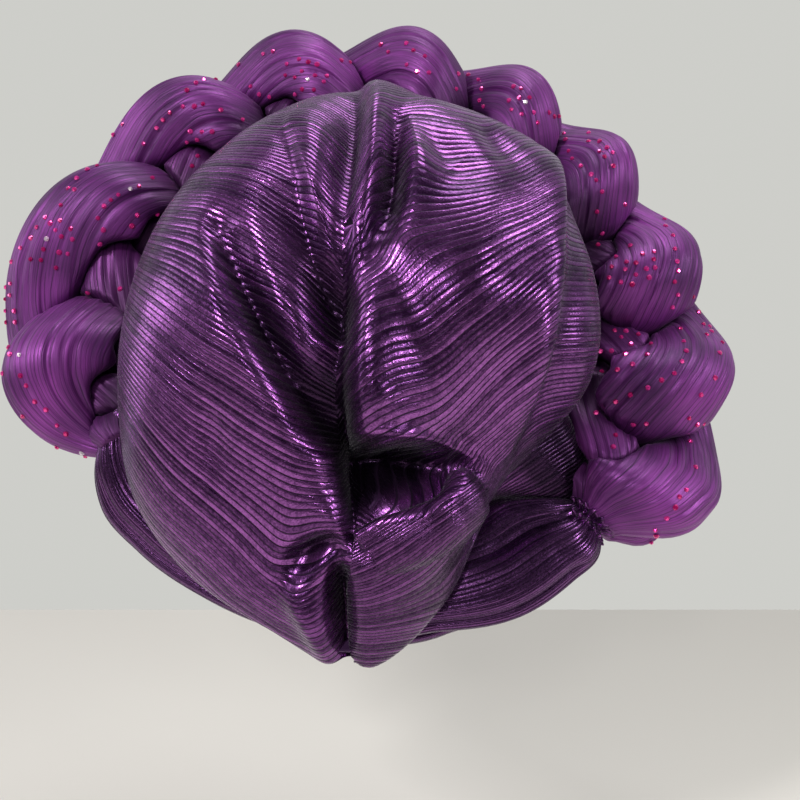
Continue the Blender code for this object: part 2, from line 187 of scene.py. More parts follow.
@dataclass(frozen=True)
class HaloSizes:
    """Named sizes that the solids are drawn from, in metres and radians."""

    tilt: float = math.radians(35.0)
    rim_half_width: float = 0.086
    rim_half_length: float = 0.094
    rim_drop: float = 0.008
    rim_front: float = 0.012
    sewn_gap: float = 0.0005
    strand_width: float = 0.047
    strand_depth: float = 0.038
    weave_reach: float = 0.0160
    weave_lift: float = 0.0125
    crown_radius: float = 0.100
    crown_depth: float = 0.108
    fold_scale: float = 0.013
    view_lean: float = math.radians(15.0)
    band_height: float = 0.046
    band_thickness: float = 0.018
    flap_lift: float = 0.004

    @property
    def braid_half_depth(self) -> float:
        """Half the braid's depth, front to back."""
        return self.weave_lift + self.strand_depth / 2

    @property
    def halo_radius(self) -> float:
        """Radius of the braid's middle line."""
        return self.rim_half_width + self.sewn_gap + self.weave_reach + self.strand_width / 2

    def points(self, degrees: Array, radius: Array, rise: Array) -> Array:
        """World points from the halo's own coordinates.

        Args:
            degrees: angle round the halo from its top.
            radius: distance from the halo's middle.
            rise: distance off the halo's plane, towards the back of the head.

        Returns:
            Points turned by the halo's tilt: across, forwards and up.
        """
        angle = np.radians(degrees)
        across, along = radius * np.sin(angle), radius * np.cos(angle)
        lean_sin, lean_cos = math.sin(self.tilt), math.cos(self.tilt)
        return np.stack([across + 0 * rise,
                         along * lean_sin - rise * lean_cos,
                         along * lean_cos + rise * lean_sin], axis=-1)

    def rim(self, degrees: Array) -> Array:
        """Radius of the head opening: where a ray meets an ellipse set below the middle.

        Args:
            degrees: angle round the halo from its top.

        Returns:
            The positive root of the ellipse's quadratic for each angle.
        """
        angle = np.radians(degrees)
        sine, cosine = np.sin(angle), np.cos(angle)
        a = (sine / self.rim_half_width) ** 2 + (cosine / self.rim_half_length) ** 2
        b = 2 * cosine * self.rim_drop / self.rim_half_length ** 2
        c = (self.rim_drop / self.rim_half_length) ** 2 - 1
        return (-b + np.sqrt(b * b - 4 * a * c)) / (2 * a)

    def fold_plane(self, points: Array) -> tuple[Array, Array]:
        """Places on the plane that the folds are drawn on.

        Args:
            points: world points.

        Returns:
            How far across and how far up, as shares of the crown's radius.
        """
        up = points[..., 1] * math.sin(self.view_lean) + points[..., 2] * math.cos(self.view_lean)
        return points[..., 0] / self.crown_radius, up / self.crown_radius


SIZES = HaloSizes()


@dataclass
class ClothGrid:
    """A cloth surface on a grid of columns by rows, ready to become a mesh.

    Faces run column, row, next column, and point the way of the row step crossed with
    the column step; flip turns them round. A pole closes an end row with one point.
    """

    name: str
    points: Array
    corner: dict[str, Array]
    around: bool = False
    flip: bool = False
    first_pole: Array | None = None
    last_pole: Array | None = None

    def _quads(self, keep: Array | None) -> tuple[Array, Array, Array]:
        """Corner columns, corner rows and vertex numbers of the grid's four-sided faces."""
        columns, rows = self.points.shape[:2]
        spans = columns if self.around else columns - 1
        column, row = np.meshgrid(np.arange(spans), np.arange(rows - 1), indexing="ij")
        if keep is not None:
            column, row = column[keep], row[keep]
        column, row = column.ravel(), row.ravel()
        corner_column = np.stack([column, column, column + 1, column + 1], axis=1)
        corner_row = np.stack([row, row + 1, row + 1, row], axis=1)
        return corner_column, corner_row, (corner_column % columns) * rows + corner_row

    def _fan(self, row: int, pole: int, first: bool) -> tuple[Array, Array, Array]:
        """Corner columns, corner rows and vertex numbers of one end's triangles."""
        columns, rows = self.points.shape[:2]
        column = np.arange(columns if self.around else columns - 1)
        pole_column = np.full_like(column, pole)
        order = (pole_column, column, column + 1) if first else (column, pole_column, column + 1)
        corner_column = np.stack([column, column, column + 1], axis=1)
        vertex = np.stack([part if part is pole_column else (part % columns) * rows + row
                           for part in order], axis=1)
        return corner_column, np.full_like(corner_column, row), vertex

    def build(self, keep: Array | None = None) -> bpy.types.Object:
        """Turn the grid into a smooth mesh object.

        Args:
            keep: which faces to use, a grid of true and false, or None for all.

        Returns:
            The new object, its corner values stored as attributes of the same names.
        """
        vertices = self.points.reshape(-1, 3)
        parts = [self._quads(keep)]
        for pole, row, first in ((self.first_pole, 0, True),
                                 (self.last_pole, self.points.shape[1] - 1, False)):
            if pole is not None:
                parts.append(self._fan(row, len(vertices), first))
                vertices = np.vstack([vertices, pole[None, :]])
        if self.flip:
            parts = [tuple(part[:, ::-1] for part in piece) for piece in parts]
        corner_column = np.concatenate([piece[0].ravel() for piece in parts])
        corner_row = np.concatenate([piece[1].ravel() for piece in parts])
        loops = np.concatenate([piece[2].ravel() for piece in parts])
        sizes = np.concatenate([np.full(len(piece[2]), piece[2].shape[1]) for piece in parts])
        used, loops = np.unique(loops, return_inverse=True)
        mesh = bpy.data.meshes.new(self.name)
        mesh.vertices.add(len(used))
        mesh.vertices.foreach_set("co", vertices[used].astype(np.float32).ravel())
        mesh.loops.add(len(loops))
        mesh.loops.foreach_set("vertex_index", loops.astype(np.int32))
        mesh.polygons.add(len(sizes))
        starts = np.concatenate([[0], np.cumsum(sizes)[:-1]])
        mesh.polygons.foreach_set("loop_start", starts.astype(np.int32))
        mesh.update(calc_edges=True)
        for label, grid in self.corner.items():
            values = grid[corner_column, corner_row].astype(np.float32)
            layer = mesh.attributes.new(label, "FLOAT", "CORNER")
            layer.data.foreach_set("value", values)
        mesh.polygons.foreach_set("use_smooth", np.ones(len(sizes), dtype=bool))
        mesh.validate()
        made = add_object(self.name, mesh)
        LOG.info("%s: %d vertices, %d faces", self.name, len(used), len(sizes))
        return made


def tube(name: str, points: Array, corner: dict[str, Array], flip: bool = True) -> ClothGrid:
    """A grid closed round a strip and at both of its ends.

    Args:
        name: what the piece is called.
        points: grid of world points, along the strip by round it.
        corner: values for the corners, round the strip by along it.
        flip: whether its faces have to be turned round.

    Returns:
        A closed grid, columns round the strip and rows along it.
    """
    points = np.swapaxes(points, 0, 1)
    return ClothGrid(name, points, corner, around=True, flip=flip,
                     first_pole=points[:, 0].mean(axis=0), last_pole=points[:, -1].mean(axis=0))


class Shading:
    """A material's node tree, with short calls for the nodes that cloth needs."""

    def __init__(self, name: str) -> None:
        """Start a material with one Principled shader."""
        self.material = bpy.data.materials.new(name)
        self.material.use_nodes = True
        self.tree = self.material.node_tree
        self.shader = self.tree.nodes["Principled BSDF"]

    def constants(self, **values: float | tuple[float, ...]) -> None:
        """Set the shader's own sockets, each name with underscores for its spaces."""
        for label, value in values.items():
            self.shader.inputs[label.replace("_", " ")].default_value = value

    def put(self, target: Socket, value: object) -> None:
        """Link a socket to the target, or set the target to a plain value."""
        if isinstance(value, Socket):
            self.tree.links.new(value, target)
        else:
            target.default_value = value

    def attribute(self, label: str) -> Socket:
        """A number stored on the mesh."""
        node = self.tree.nodes.new("ShaderNodeAttribute")
        node.attribute_name = label
        return node.outputs["Fac"]

    def math(self, operation: str, *values: object) -> Socket:
        """One step of arithmetic on sockets or plain numbers."""
        node = self.tree.nodes.new("ShaderNodeMath")
        node.operation = operation
        for socket, value in zip(node.inputs, values):
            self.put(socket, value)
        return node.outputs[0]

    def times(self, one: object, other: object) -> Socket:
        """A product."""
        return self.math("MULTIPLY", one, other)

    def plus(self, one: object, other: object) -> Socket:
        """A sum."""
        return self.math("ADD", one, other)

    def stripes(self, value: object) -> Socket:
        """0 at every whole number and 1 half-way between them: the size of a sine."""
        return self.math("ABSOLUTE", self.math("SINE", self.times(value, math.pi)))

    def remap(self, value: object, low: float, high: float, to_low: float, to_high: float,
              smooth: bool = True) -> Socket:
        """A value stretched from one range to another and held at its ends."""
        node = self.tree.nodes.new("ShaderNodeMapRange")
        node.interpolation_type = "SMOOTHSTEP" if smooth else "LINEAR"
        for socket, given in zip(node.inputs, (value, low, high, to_low, to_high)):
            self.put(socket, given)
        return node.outputs[0]

    def vector(self, x: object, y: object, z: object = 0.0) -> Socket:
        """Three numbers joined into a vector."""
        node = self.tree.nodes.new("ShaderNodeCombineXYZ")
        for socket, given in zip(node.inputs, (x, y, z)):
            self.put(socket, given)
        return node.outputs[0]

    def object_place(self) -> Socket:
        """The place in the object's own coordinates."""
        return self.tree.nodes.new("ShaderNodeTexCoord").outputs["Object"]

    def noise(self, vector: object, scale: float, detail: float = 2.0,
              roughness: float = 0.5) -> Socket:
        """Smooth noise between 0 and 1 at a place."""
        node = self.tree.nodes.new("ShaderNodeTexNoise")
        for label, given in (("Vector", vector), ("Scale", scale), ("Detail", detail),
                             ("Roughness", roughness)):
            self.put(node.inputs[label], given)
        return node.outputs["Fac"]

    def scatter(self, value: object) -> Socket:
        """A random number between 0 and 1 for each whole number of the value."""
        node = self.tree.nodes.new("ShaderNodeTexWhiteNoise")
        node.noise_dimensions = "1D"
        self.put(node.inputs["W"], self.math("FLOOR", value))
        return node.outputs["Value"]

    def mix(self, share: object, low: object, high: object) -> Socket:
        """A colour between two colours."""
        node = self.tree.nodes.new("ShaderNodeMix")
        node.data_type = "RGBA"
        self.put(node.inputs[0], share)
        for socket, given in ((node.inputs[6], low), (node.inputs[7], high)):
            self.put(socket, (*given, 1.0) if isinstance(given, tuple) else given)
        return node.outputs[2]

    def bump(self, height: object, distance: float, before: object = None) -> Socket:
        """A relief of the given depth in metres, over an earlier one if there is one."""
        node = self.tree.nodes.new("ShaderNodeBump")
        node.inputs["Distance"].default_value = distance
        self.put(node.inputs["Height"], height)
        if before is not None:
            self.put(node.inputs["Normal"], before)
        return node.outputs[0]


@dataclass(frozen=True)
class PleatedLame:
    """Metallic cloth set in fine ribs with dark grooves between them.

    Reads the attributes rib (place across the ribs, one for each rib), along (place along
    them in metres) and crease (painted shade: 0 on open cloth, 1 deep in a fold).
    """

    name: str = "pleated_lame"
    rib_colour: Colour = (0.37, 0.116, 0.43)
    deep_colour: Colour = (0.040, 0.010, 0.056)
    # Groove colour: partly the knit's own dark between the foil ribs, partly painted shade in the
    # grooves.
    groove_colour: Colour = (0.010, 0.004, 0.014)
    sheen_tint: Colour = (0.84, 0.78, 0.88)
    relief: float = 0.00022
    glitter: float = 0.00010
    groove: Pair = (0.16, 0.48)
    groove_depth: Pair = (0.80, 1.0)
    crown_power: float = 0.6
    lean: float = 1.2
    streak_rate: Pair = (0.9, 260.0)
    grain_rate: Pair = (3.2, 1000.0)
    streak_share: float = 0.34
    tone_share: float = 0.20
    grain_share: float = 0.26
    light: Pair = (0.22, 0.66)
    # How dark the painted shade in folds and other shaded places gets.
    crease_share: float = 0.92
    rough: Pair = (0.34, 0.13)
    groove_rough: float = 0.30
    metallic: float = 0.88
    sheen: float = 0.16

    def material(self) -> bpy.types.Material:
        """Flat-topped ribs, thin grooves of uneven depth between them, and a fine glitter."""
        made = Shading(self.name)
        rib, along = made.attribute("rib"), made.attribute("along")
        wave = made.stripes(rib)
        depth = made.remap(made.scatter(made.plus(rib, 0.5)), 0.15, 0.85, *self.groove_depth,
                           smooth=False)
        # Grooves darkened: partly the knit's own colour, partly painted shade in the recesses.
        groove = made.times(made.remap(wave, *self.groove, 1.0, 0.0), depth)
        middle = made.math("SUBTRACT", made.math("FRACT", rib), 0.5)
        lean = made.times(middle, made.math("SUBTRACT", made.scatter(rib), 0.5))
        height = made.plus(made.math("POWER", wave, self.crown_power), made.times(lean, self.lean))
        streak = made.noise(made.vector(made.times(rib, self.streak_rate[0]),
                                        made.times(along, self.streak_rate[1])), 1.0, 3.0, 0.65)
        grain = made.noise(made.vector(made.times(rib, self.grain_rate[0]),
                                       made.times(along, self.grain_rate[1])), 1.0, 1.5, 0.6)
        light = made.plus(made.times(streak, self.streak_share),
                          made.plus(made.times(made.scatter(rib), self.tone_share),
                                    made.times(grain, self.grain_share)))
        ribs = made.mix(made.remap(light, *self.light, 0.0, 1.0), self.deep_colour,
                        self.rib_colour)
        # Painted shade: the colour darkens towards the groove colour deep in folds and in the other
        # shaded places.
        dark = made.math("MAXIMUM", groove, made.times(made.attribute("crease"),
                                                       self.crease_share))
        made.put(made.shader.inputs["Base Color"], made.mix(dark, ribs, self.groove_colour))
        rough = made.plus(made.remap(grain, 0.3, 0.75, *self.rough),
                          made.times(groove, self.groove_rough))
        made.put(made.shader.inputs["Roughness"], rough)
        made.constants(Metallic=self.metallic, Sheen_Weight=self.sheen, Sheen_Roughness=0.30,
                       Sheen_Tint=(*self.sheen_tint, 1.0))
        sparkle = made.bump(grain, self.glitter)
        made.put(made.shader.inputs["Normal"], made.bump(height, self.relief, sparkle))
        return made.material


@dataclass(frozen=True)
class PaddedSatin:
    """Satin-like pleated cloth over soft filling.

    Reads the attributes across (place across the pleats in metres), along (place along
    them in metres), press_and_shade (painted shade: 0 where the cloth is free, 1 where a
    neighbour holds it or the bag shades it) and crest (0 between pleats, 1 on top of one).
    """

    name: str = "padded_satin"
    light_colour: Colour = (0.38, 0.064, 0.43)
    deep_colour: Colour = (0.050, 0.008, 0.070)
    sheen_tint: Colour = (0.85, 0.55, 0.95)
    line_colour: Colour = (0.030, 0.005, 0.040)
    press_shade_share: float = 0.16
    pleat_pitch: float = 0.0017
    pleat_wander: float = 1.6
    thread_rate: Pair = (1700.0, 60.0)
    weave_rate: Pair = (2600.0, 1500.0)
    thread_share: float = 0.32
    crest_share: float = 0.10
    cloud_share: float = 0.60
    light: Pair = (0.30, 0.85)
    line: Pair = (0.05, 0.60)
    line_depth: Pair = (0.15, 0.75)
    rough: Pair = (0.56, 0.38)
    metallic: float = 0.52
    sheen: float = 0.09
    thread: float = 0.00013
    weave_depth: float = 0.4
    thread_depth: float = 0.6

    def material(self) -> bpy.types.Material:
        """Fine threads along pleats, painted light on their crests, painted shade where pressed."""
        made = Shading(self.name)
        across, along = made.attribute("across"), made.attribute("along")
        threads = made.noise(made.vector(made.times(across, self.thread_rate[0]),
                                         made.times(along, self.thread_rate[1])), 1.0, 3.0, 0.6)
        fine = made.noise(made.vector(made.times(across, self.weave_rate[0]),
                                      made.times(along, self.weave_rate[1])), 1.0, 1.0)
        cloud = made.noise(made.object_place(), 26.0, 2.0)
        # Painted light: the crests of the pleats are painted lighter.
        light = made.plus(made.times(threads, self.thread_share),
                          made.plus(made.times(made.attribute("crest"), self.crest_share),
                                    made.times(cloud, self.cloud_share)))
        wander = made.times(made.noise(made.object_place(), 55.0, 1.0), self.pleat_wander)
        bent = made.plus(made.times(across, 1 / self.pleat_pitch), wander)
        strength = made.remap(made.scatter(made.plus(bent, 0.5)), 0.0, 1.0, *self.line_depth)
        line = made.times(made.remap(made.stripes(bent), *self.line, 1.0, 0.0), strength)
        free = made.mix(made.remap(light, *self.light, 0.0, 1.0), self.deep_colour,
                        self.light_colour)
        free = made.mix(line, free, self.line_colour)
        # Painted shade: pressed places and the inner strands behind are darkened to a dim deep
        # colour.
        shade = tuple(part * self.press_shade_share for part in self.deep_colour)
        made.put(made.shader.inputs["Base Color"], made.mix(made.attribute("press_and_shade"), free, shade))
        made.put(made.shader.inputs["Roughness"], made.remap(threads, 0.25, 0.8, *self.rough))
        made.constants(Metallic=self.metallic, Sheen_Weight=self.sheen, Sheen_Roughness=0.34,
                       Sheen_Tint=(*self.sheen_tint, 1.0))
        weave = made.bump(fine, self.thread * self.weave_depth)
        pleats = made.bump(line, -self.thread, weave)
        made.put(made.shader.inputs["Normal"],
                 made.bump(threads, self.thread * self.thread_depth, pleats))
        return made.material


@dataclass(frozen=True)
class CutGlass:
    """Small foiled glass stones of mixed tone.

    Reads the attribute tone, a number between 0 and 1 for each stone.
    """

    name: str = "cut_glass"
    deep_colour: Colour = (0.55, 0.008, 0.15)
    light_colour: Colour = (0.90, 0.050, 0.38)
    clear_colour: Colour = (0.90, 0.78, 0.86)
    clear_share: float = 0.96

    def material(self) -> bpy.types.Material:
        """Mostly pink to red, and a few nearly clear, under a hard gloss, with a faint painted
        glow.
        """
        made = Shading(self.name)
        tone = made.attribute("tone")
        pink = made.mix(tone, self.deep_colour, self.light_colour)
        is_clear = made.math("GREATER_THAN", tone, self.clear_share)
        colour = made.mix(is_clear, pink, self.clear_colour)
        made.put(made.shader.inputs["Base Color"], colour)
        # Painted glow: the stones emit a little of their own colour, for sparkle.
        made.put(made.shader.inputs["Emission Color"], colour)
        made.constants(Metallic=0.60, Roughness=0.12, Coat_Weight=0.8, Coat_Roughness=0.05,
                       Emission_Strength=0.10)
        return made.material


@dataclass(frozen=True)
class PlainLining:
    """The cap's plain inner cloth."""

    name: str = "plain_lining"
    colour: Colour = (0.055, 0.012, 0.075)

    def material(self) -> bpy.types.Material:
        """A soft even cloth with a fine woven grain and a little wear."""
        made = Shading(self.name)
        place = made.object_place()
        weave = made.noise(place, 1400.0, 1.0)
        cloud = made.noise(place, 30.0, 3.0)
        light = tuple(min(1.0, part * 2.0) for part in self.colour)
        made.put(made.shader.inputs["Base Color"],
                 made.mix(made.remap(cloud, 0.3, 0.7, 0.0, 0.6), self.colour, light))
        made.put(made.shader.inputs["Roughness"], made.remap(weave, 0.3, 0.7, 0.62, 0.78))
        made.constants(Sheen_Weight=0.25, Sheen_Roughness=0.5)
        made.put(made.shader.inputs["Normal"], made.bump(weave, 0.00008))
        return made.material


@dataclass(frozen=True)
class PlainPaper:
    """The pale floor and backdrop."""

    name: str
    colour: Colour
    far_share: float = 0.74
    fade: Pair = (-0.35, 0.26)

    def material(self) -> bpy.types.Material:
        """A matt colour with painted shade that dims it softly towards its far edge."""
        made = Shading(self.name)
        place = made.tree.nodes.new("ShaderNodeSeparateXYZ")
        made.put(place.inputs[0], made.object_place())
        # Painted shade: the colour dims towards the far edge, as the light falls off towards the
        # horizon.
        away = made.remap(place.outputs["Y"], *self.fade, 0.0, 1.0)
        dim = tuple(part * self.far_share for part in self.colour)
        made.put(made.shader.inputs["Base Color"], made.mix(away, self.colour, dim))
        made.constants(Roughness=0.85, Specular_IOR_Level=0.2)
        return made.material


@dataclass
class HaloBraid:
    """The padded plait that stands up round the head, three strands."""

    sizes: HaloSizes = SIZES
    strands: int = 3
    sections: int = 290
    sides: int = 200
    sharpness: float = 8.0
    press_gap: float = -0.0009
    inner_lift: float = 0.10
    overlap: float = 0.55
    overlap_bells: Table = ((178.0, 38.0, 1.0), (302.0, 34.0, -0.8))
    usual_radius: float = 0.019
    plump: float = 1.07
    pleat_depth: float = 0.000035
    pleat_length: float = 0.034
    pleat_roundness: float = 0.8
    dent_depth: float = 0.0009
    dent_length: float = 0.05
    wrinkle_depth: float = 0.0018
    wrinkle_length: float = 0.030
    full_reach: float = 0.016
    shade_share: float = 0.80
    shade_reach: Pair = (0.128, 0.110)
    inward_fill: float = 0.45
    creases: tuple[float, ...] = (-122.0, -98.0, -63.0, -34.0, -10.0, 14.0, 37.0, 59.0, 82.0,
                                  104.0, 129.0)
    course: Table = (
        # angle, radius, weave, thickness, rise
        (-119.0, 0.92, 0.34, 0.34, 0.42), (-112.0, 0.95, 0.66, 0.66, 0.28),
        (-102.0, 0.98, 0.94, 0.96, 0.10), (-85.0, 1.00, 1.00, 1.02, 0.00),
        (-60.0, 0.98, 1.00, 0.98, 0.00), (-30.0, 0.97, 1.00, 0.92, 0.00),
        (0.0, 0.98, 1.00, 0.92, 0.00), (45.0, 0.95, 1.00, 0.90, 0.00),
        (66.0, 0.95, 1.00, 0.94, 0.00), (90.0, 1.00, 1.00, 1.00, 0.00),
        (108.0, 1.03, 1.00, 1.04, 0.02), (120.0, 1.05, 1.00, 1.02, 0.08),
        (127.5, 1.06, 0.78, 0.82, 0.10), (131.5, 1.05, 0.34, 0.40, 0.12),
    )

    def centres(self, degrees: Array) -> tuple[Array, Array]:
        """Middle of each strand: the plait's sines, a third of a turn apart.

        Behind the head the strands on the inner side lie lower, and the ones that come in
        from the outer side are lifted over them by bells of the plait's phase.

        Args:
            degrees: angles round the halo.

        Returns:
            Radius and rise, arrays of strand by angle.
        """
        third = TURN / self.strands
        rows = tuple((angle, 5 * math.pi / 6 + number * third)
                     for number, angle in enumerate(self.creases))
        base = smooth_curve(degrees, rows, 1)
        radius = self.sizes.halo_radius * smooth_curve(degrees, self.course, 1)
        weave = smooth_curve(degrees, self.course, 2)
        rise = self.sizes.strand_depth * smooth_curve(degrees, self.course, 4)
        phases = base[None, :] - np.arange(self.strands)[:, None] * third
        kept = self.inner_lift + (1 - self.inner_lift) * smoothstep(-0.35, 0.25, np.sin(phases))
        kept = np.where(np.sin(2 * phases) < 0, kept, 1.0)
        turned = np.degrees(phases) % 360.0
        over = sum(amount * bell(turned, middle, width)
                   for middle, width, amount in self.overlap_bells)
        lift = self.overlap * over - np.sin(2 * phases) * kept
        return (radius + self.sizes.weave_reach * weave * np.sin(phases),
                rise + self.sizes.weave_lift * weave * lift)

    def reach(self, degrees: Array, strand: int) -> tuple[Array, Array]:
        """How far a strand reaches each way: the least, softly taken, of its oval, the
        half-way lines to its neighbours and the rim.

        Args:
            degrees: angles round the halo.
            strand: which strand, from 0.

        Returns:
            The reach, and the share of the oval's reach that is pressed away.
        """
        radii, rises = self.centres(degrees)
        thickness = smooth_curve(degrees, self.course, 3)[:, None]
        turn = np.arange(self.sides) * TURN / self.sides
        out, up = np.cos(turn)[None, :], np.sin(turn)[None, :]
        thickness = thickness * self.plump
        inward = 1 + self.inward_fill * np.maximum(-out, 0.0) ** 2
        oval = 2 * np.hypot(out / (self.sizes.strand_width * thickness * inward),
                            up / (self.sizes.strand_depth * thickness))
        inverse = oval ** self.sharpness
        for other in range(self.strands):
            if other == strand:
                continue
            aside = (radii[other] - radii[strand])[:, None]
            above = (rises[other] - rises[strand])[:, None]
            apart = np.hypot(aside, above)
            facing = np.maximum((out * aside + up * above) / apart, 0.0)
            inverse = inverse + (facing / (apart / 2 - self.press_gap)) ** self.sharpness
        to_rim = (radii[strand] - self.sizes.rim(degrees) - self.sizes.sewn_gap)[:, None]
        inverse = inverse + (np.maximum(-out, 0.0) / to_rim) ** self.sharpness
        reach = inverse ** (-1 / self.sharpness)
        return reach, 1 - reach * oval

    def surface(self, strand: int) -> ClothGrid:
        """One strand: its reach, with pleats along it that deepen where it is squeezed.

        Args:
            strand: which strand, from 0.

        Returns:
            A closed grid, columns round the strand and rows along it.
        """
        degrees = np.linspace(self.course[0][0], self.course[-1][0], self.sections)
        step = (degrees[-1] - degrees[0]) / (self.sections - 1)
        nearby = [self.reach(np.clip(degrees + share * step, degrees[0], degrees[-1]), strand)
                  for share in (-0.5, 0.0, 0.5)]
        reach = np.min([one[0] for one in nearby], axis=0)
        # How hard neighbours press the cloth: flattens its pleats and sets its painted shade.
        press_and_shade = smoothstep(0.02, 0.24, nearby[1][1])
        squeeze = smoothstep(0.0, 0.5, nearby[1][1].max(axis=1, keepdims=True))
        radii, rises = self.centres(degrees)
        middle = self.sizes.points(degrees, radii[strand], rises[strand])
        along = run_length(middle)
        place = (np.arange(self.sides) / self.sides)[None, :]
        pleat = wave_sum(place, along[:, None] / self.pleat_length, (19, 33, 46, 61), 11 + strand)
        pleat = np.sign(pleat) * np.abs(pleat) ** self.pleat_roundness
        dents = wave_sum(place, along[:, None] / self.dent_length, (2, 3, 5), 31 + strand)
        wrinkles = wave_sum(place, along[:, None] / self.wrinkle_length, (6, 10, 15, 21),
                            51 + strand)
        wrinkles = -np.maximum(wrinkles, 0.0) * self.wrinkle_depth * squeeze ** 2
        depth = self.pleat_depth * (0.55 + 0.85 * squeeze)
        slender = np.minimum(1.0, reach.mean(axis=1, keepdims=True) / self.full_reach)
        change = (depth * pleat + self.dent_depth * dents + wrinkles) * slender * (1 - 0.85 * press_and_shade)
        reach = reach + change - 0.4 * self.pleat_depth
        turn = TURN * place
        # Painted shadow: the inner strands behind are darkened where the bag would shade them,
        # added to the painted shade of pressed places.
        inner = smoothstep(*self.shade_reach, radii[strand][:, None] + 0.5 * reach * np.cos(turn))
        behind = smoothstep(-0.3, 0.3, np.sin(turn))
        press_and_shade = np.maximum(press_and_shade, self.shade_share * inner * behind)
        points = self.sizes.points(degrees[:, None], radii[strand][:, None] + reach * np.cos(turn),
                                   rises[strand][:, None] + reach * np.sin(turn))
        wide = np.arange(self.sides + 1)[:, None] / self.sides
        corner = {
            "across": TURN * self.usual_radius * wide + 0 * along[None, :],
            "along": 0 * wide + along[None, :],
            "press_and_shade": closed(press_and_shade.T),
            "crest": closed(pleat.T) * 0.5 + 0.5,
        }
        return tube(f"strand_{strand + 1}_cloth", points, corner)

    def build(self, finish: bpy.types.Material) -> None:
        """Make, dress and declare every strand."""
        for strand in range(self.strands):
            declare(self.surface(strand).build(), finish,
                    f"braid_strand_{strand + 1}")


def rib_angles(across: Array, up: Array, table: Table, reach: float) -> Array:
    """Rib directions between the places of a table, a mean weighted by nearness.

    Args:
        across: places across, as shares of the crown's radius.
        up: places up, likewise.
        table: rows of place across, place up and direction in degrees.
        reach: distance over which a row's say falls to a third.

    Returns:
        Directions in radians, from the level towards the upright.
    """
    rows = np.array(table, dtype=float)
    far = (across[..., None] - rows[:, 0]) ** 2 + (up[..., None] - rows[:, 1]) ** 2
    nearest = far.min(axis=-1, keepdims=True)
    weight = np.exp(-(far - nearest) / reach ** 2)
    return np.radians((weight * rows[:, 2]).sum(axis=-1) / weight.sum(axis=-1))


def field_along(points: Array, wanted: Array, start: Array,
                steps: int) -> Array:
    """The number field whose slope fits a wanted direction best, by least squares.

    Each grid edge asks for the difference that the wanted direction gives it, weighted by
    its cell's shape, and conjugate gradients solve for the field.

    Args:
        points: grid of world points, its columns closed on themselves.
        wanted: a unit vector for each point.
        start: first guess.
        steps: how many rounds of conjugate gradients.

    Returns:
        One number for each point, in metres.
    """
    around = np.roll(points, -1, axis=0) - points
    onward = points[:, 1:] - points[:, :-1]
    around_length = np.linalg.norm(around, axis=-1) + 1e-7
    onward_length = np.linalg.norm(onward, axis=-1) + 1e-7
    padded = np.concatenate([onward_length[:, :1], onward_length, onward_length[:, -1:]], axis=1)
    around_weight = 0.5 * (padded[:, 1:] + padded[:, :-1]) / around_length
    onward_weight = 0.5 * (around_length[:, 1:] + around_length[:, :-1]) / onward_length
    around_aim = (around * 0.5 * (wanted + np.roll(wanted, -1, axis=0))).sum(axis=-1)
    onward_aim = (onward * 0.5 * (wanted[:, 1:] + wanted[:, :-1])).sum(axis=-1)

    def gather(round_flow: Array, onward_flow: Array) -> Array:
        """What the edges' flows leave at each point."""
        total = np.roll(round_flow, 1, axis=0) - round_flow
        total[:, 1:] += onward_flow
        total[:, :-1] -= onward_flow
        return total

    def spread(field: Array) -> Array:
        """The weighted differences of a field, gathered at each point."""
        return gather(around_weight * (np.roll(field, -1, axis=0) - field),
                      onward_weight * (field[:, 1:] - field[:, :-1]))

    weight = around_weight + np.roll(around_weight, 1, axis=0)
    weight[:, 1:] += onward_weight
    weight[:, :-1] += onward_weight
    field = start.copy()
    left = gather(around_weight * around_aim, onward_weight * onward_aim) - spread(field)
    eased = left / weight
    heading = eased.copy()
    power = float((left * eased).sum())
    for _ in range(steps):
        pushed = spread(heading)
        length = power / max(float((heading * pushed).sum()), 1e-30)
        field += length * heading
        left -= length * pushed
        eased = left / weight
        before, power = power, float((left * eased).sum())
        heading = eased + (power / max(before, 1e-30)) * heading
    return field


class Panel(enum.Enum):
    """The two pleated panels that meet in the bag's centre valley."""

    LEFT = "left"
    RIGHT = "right"


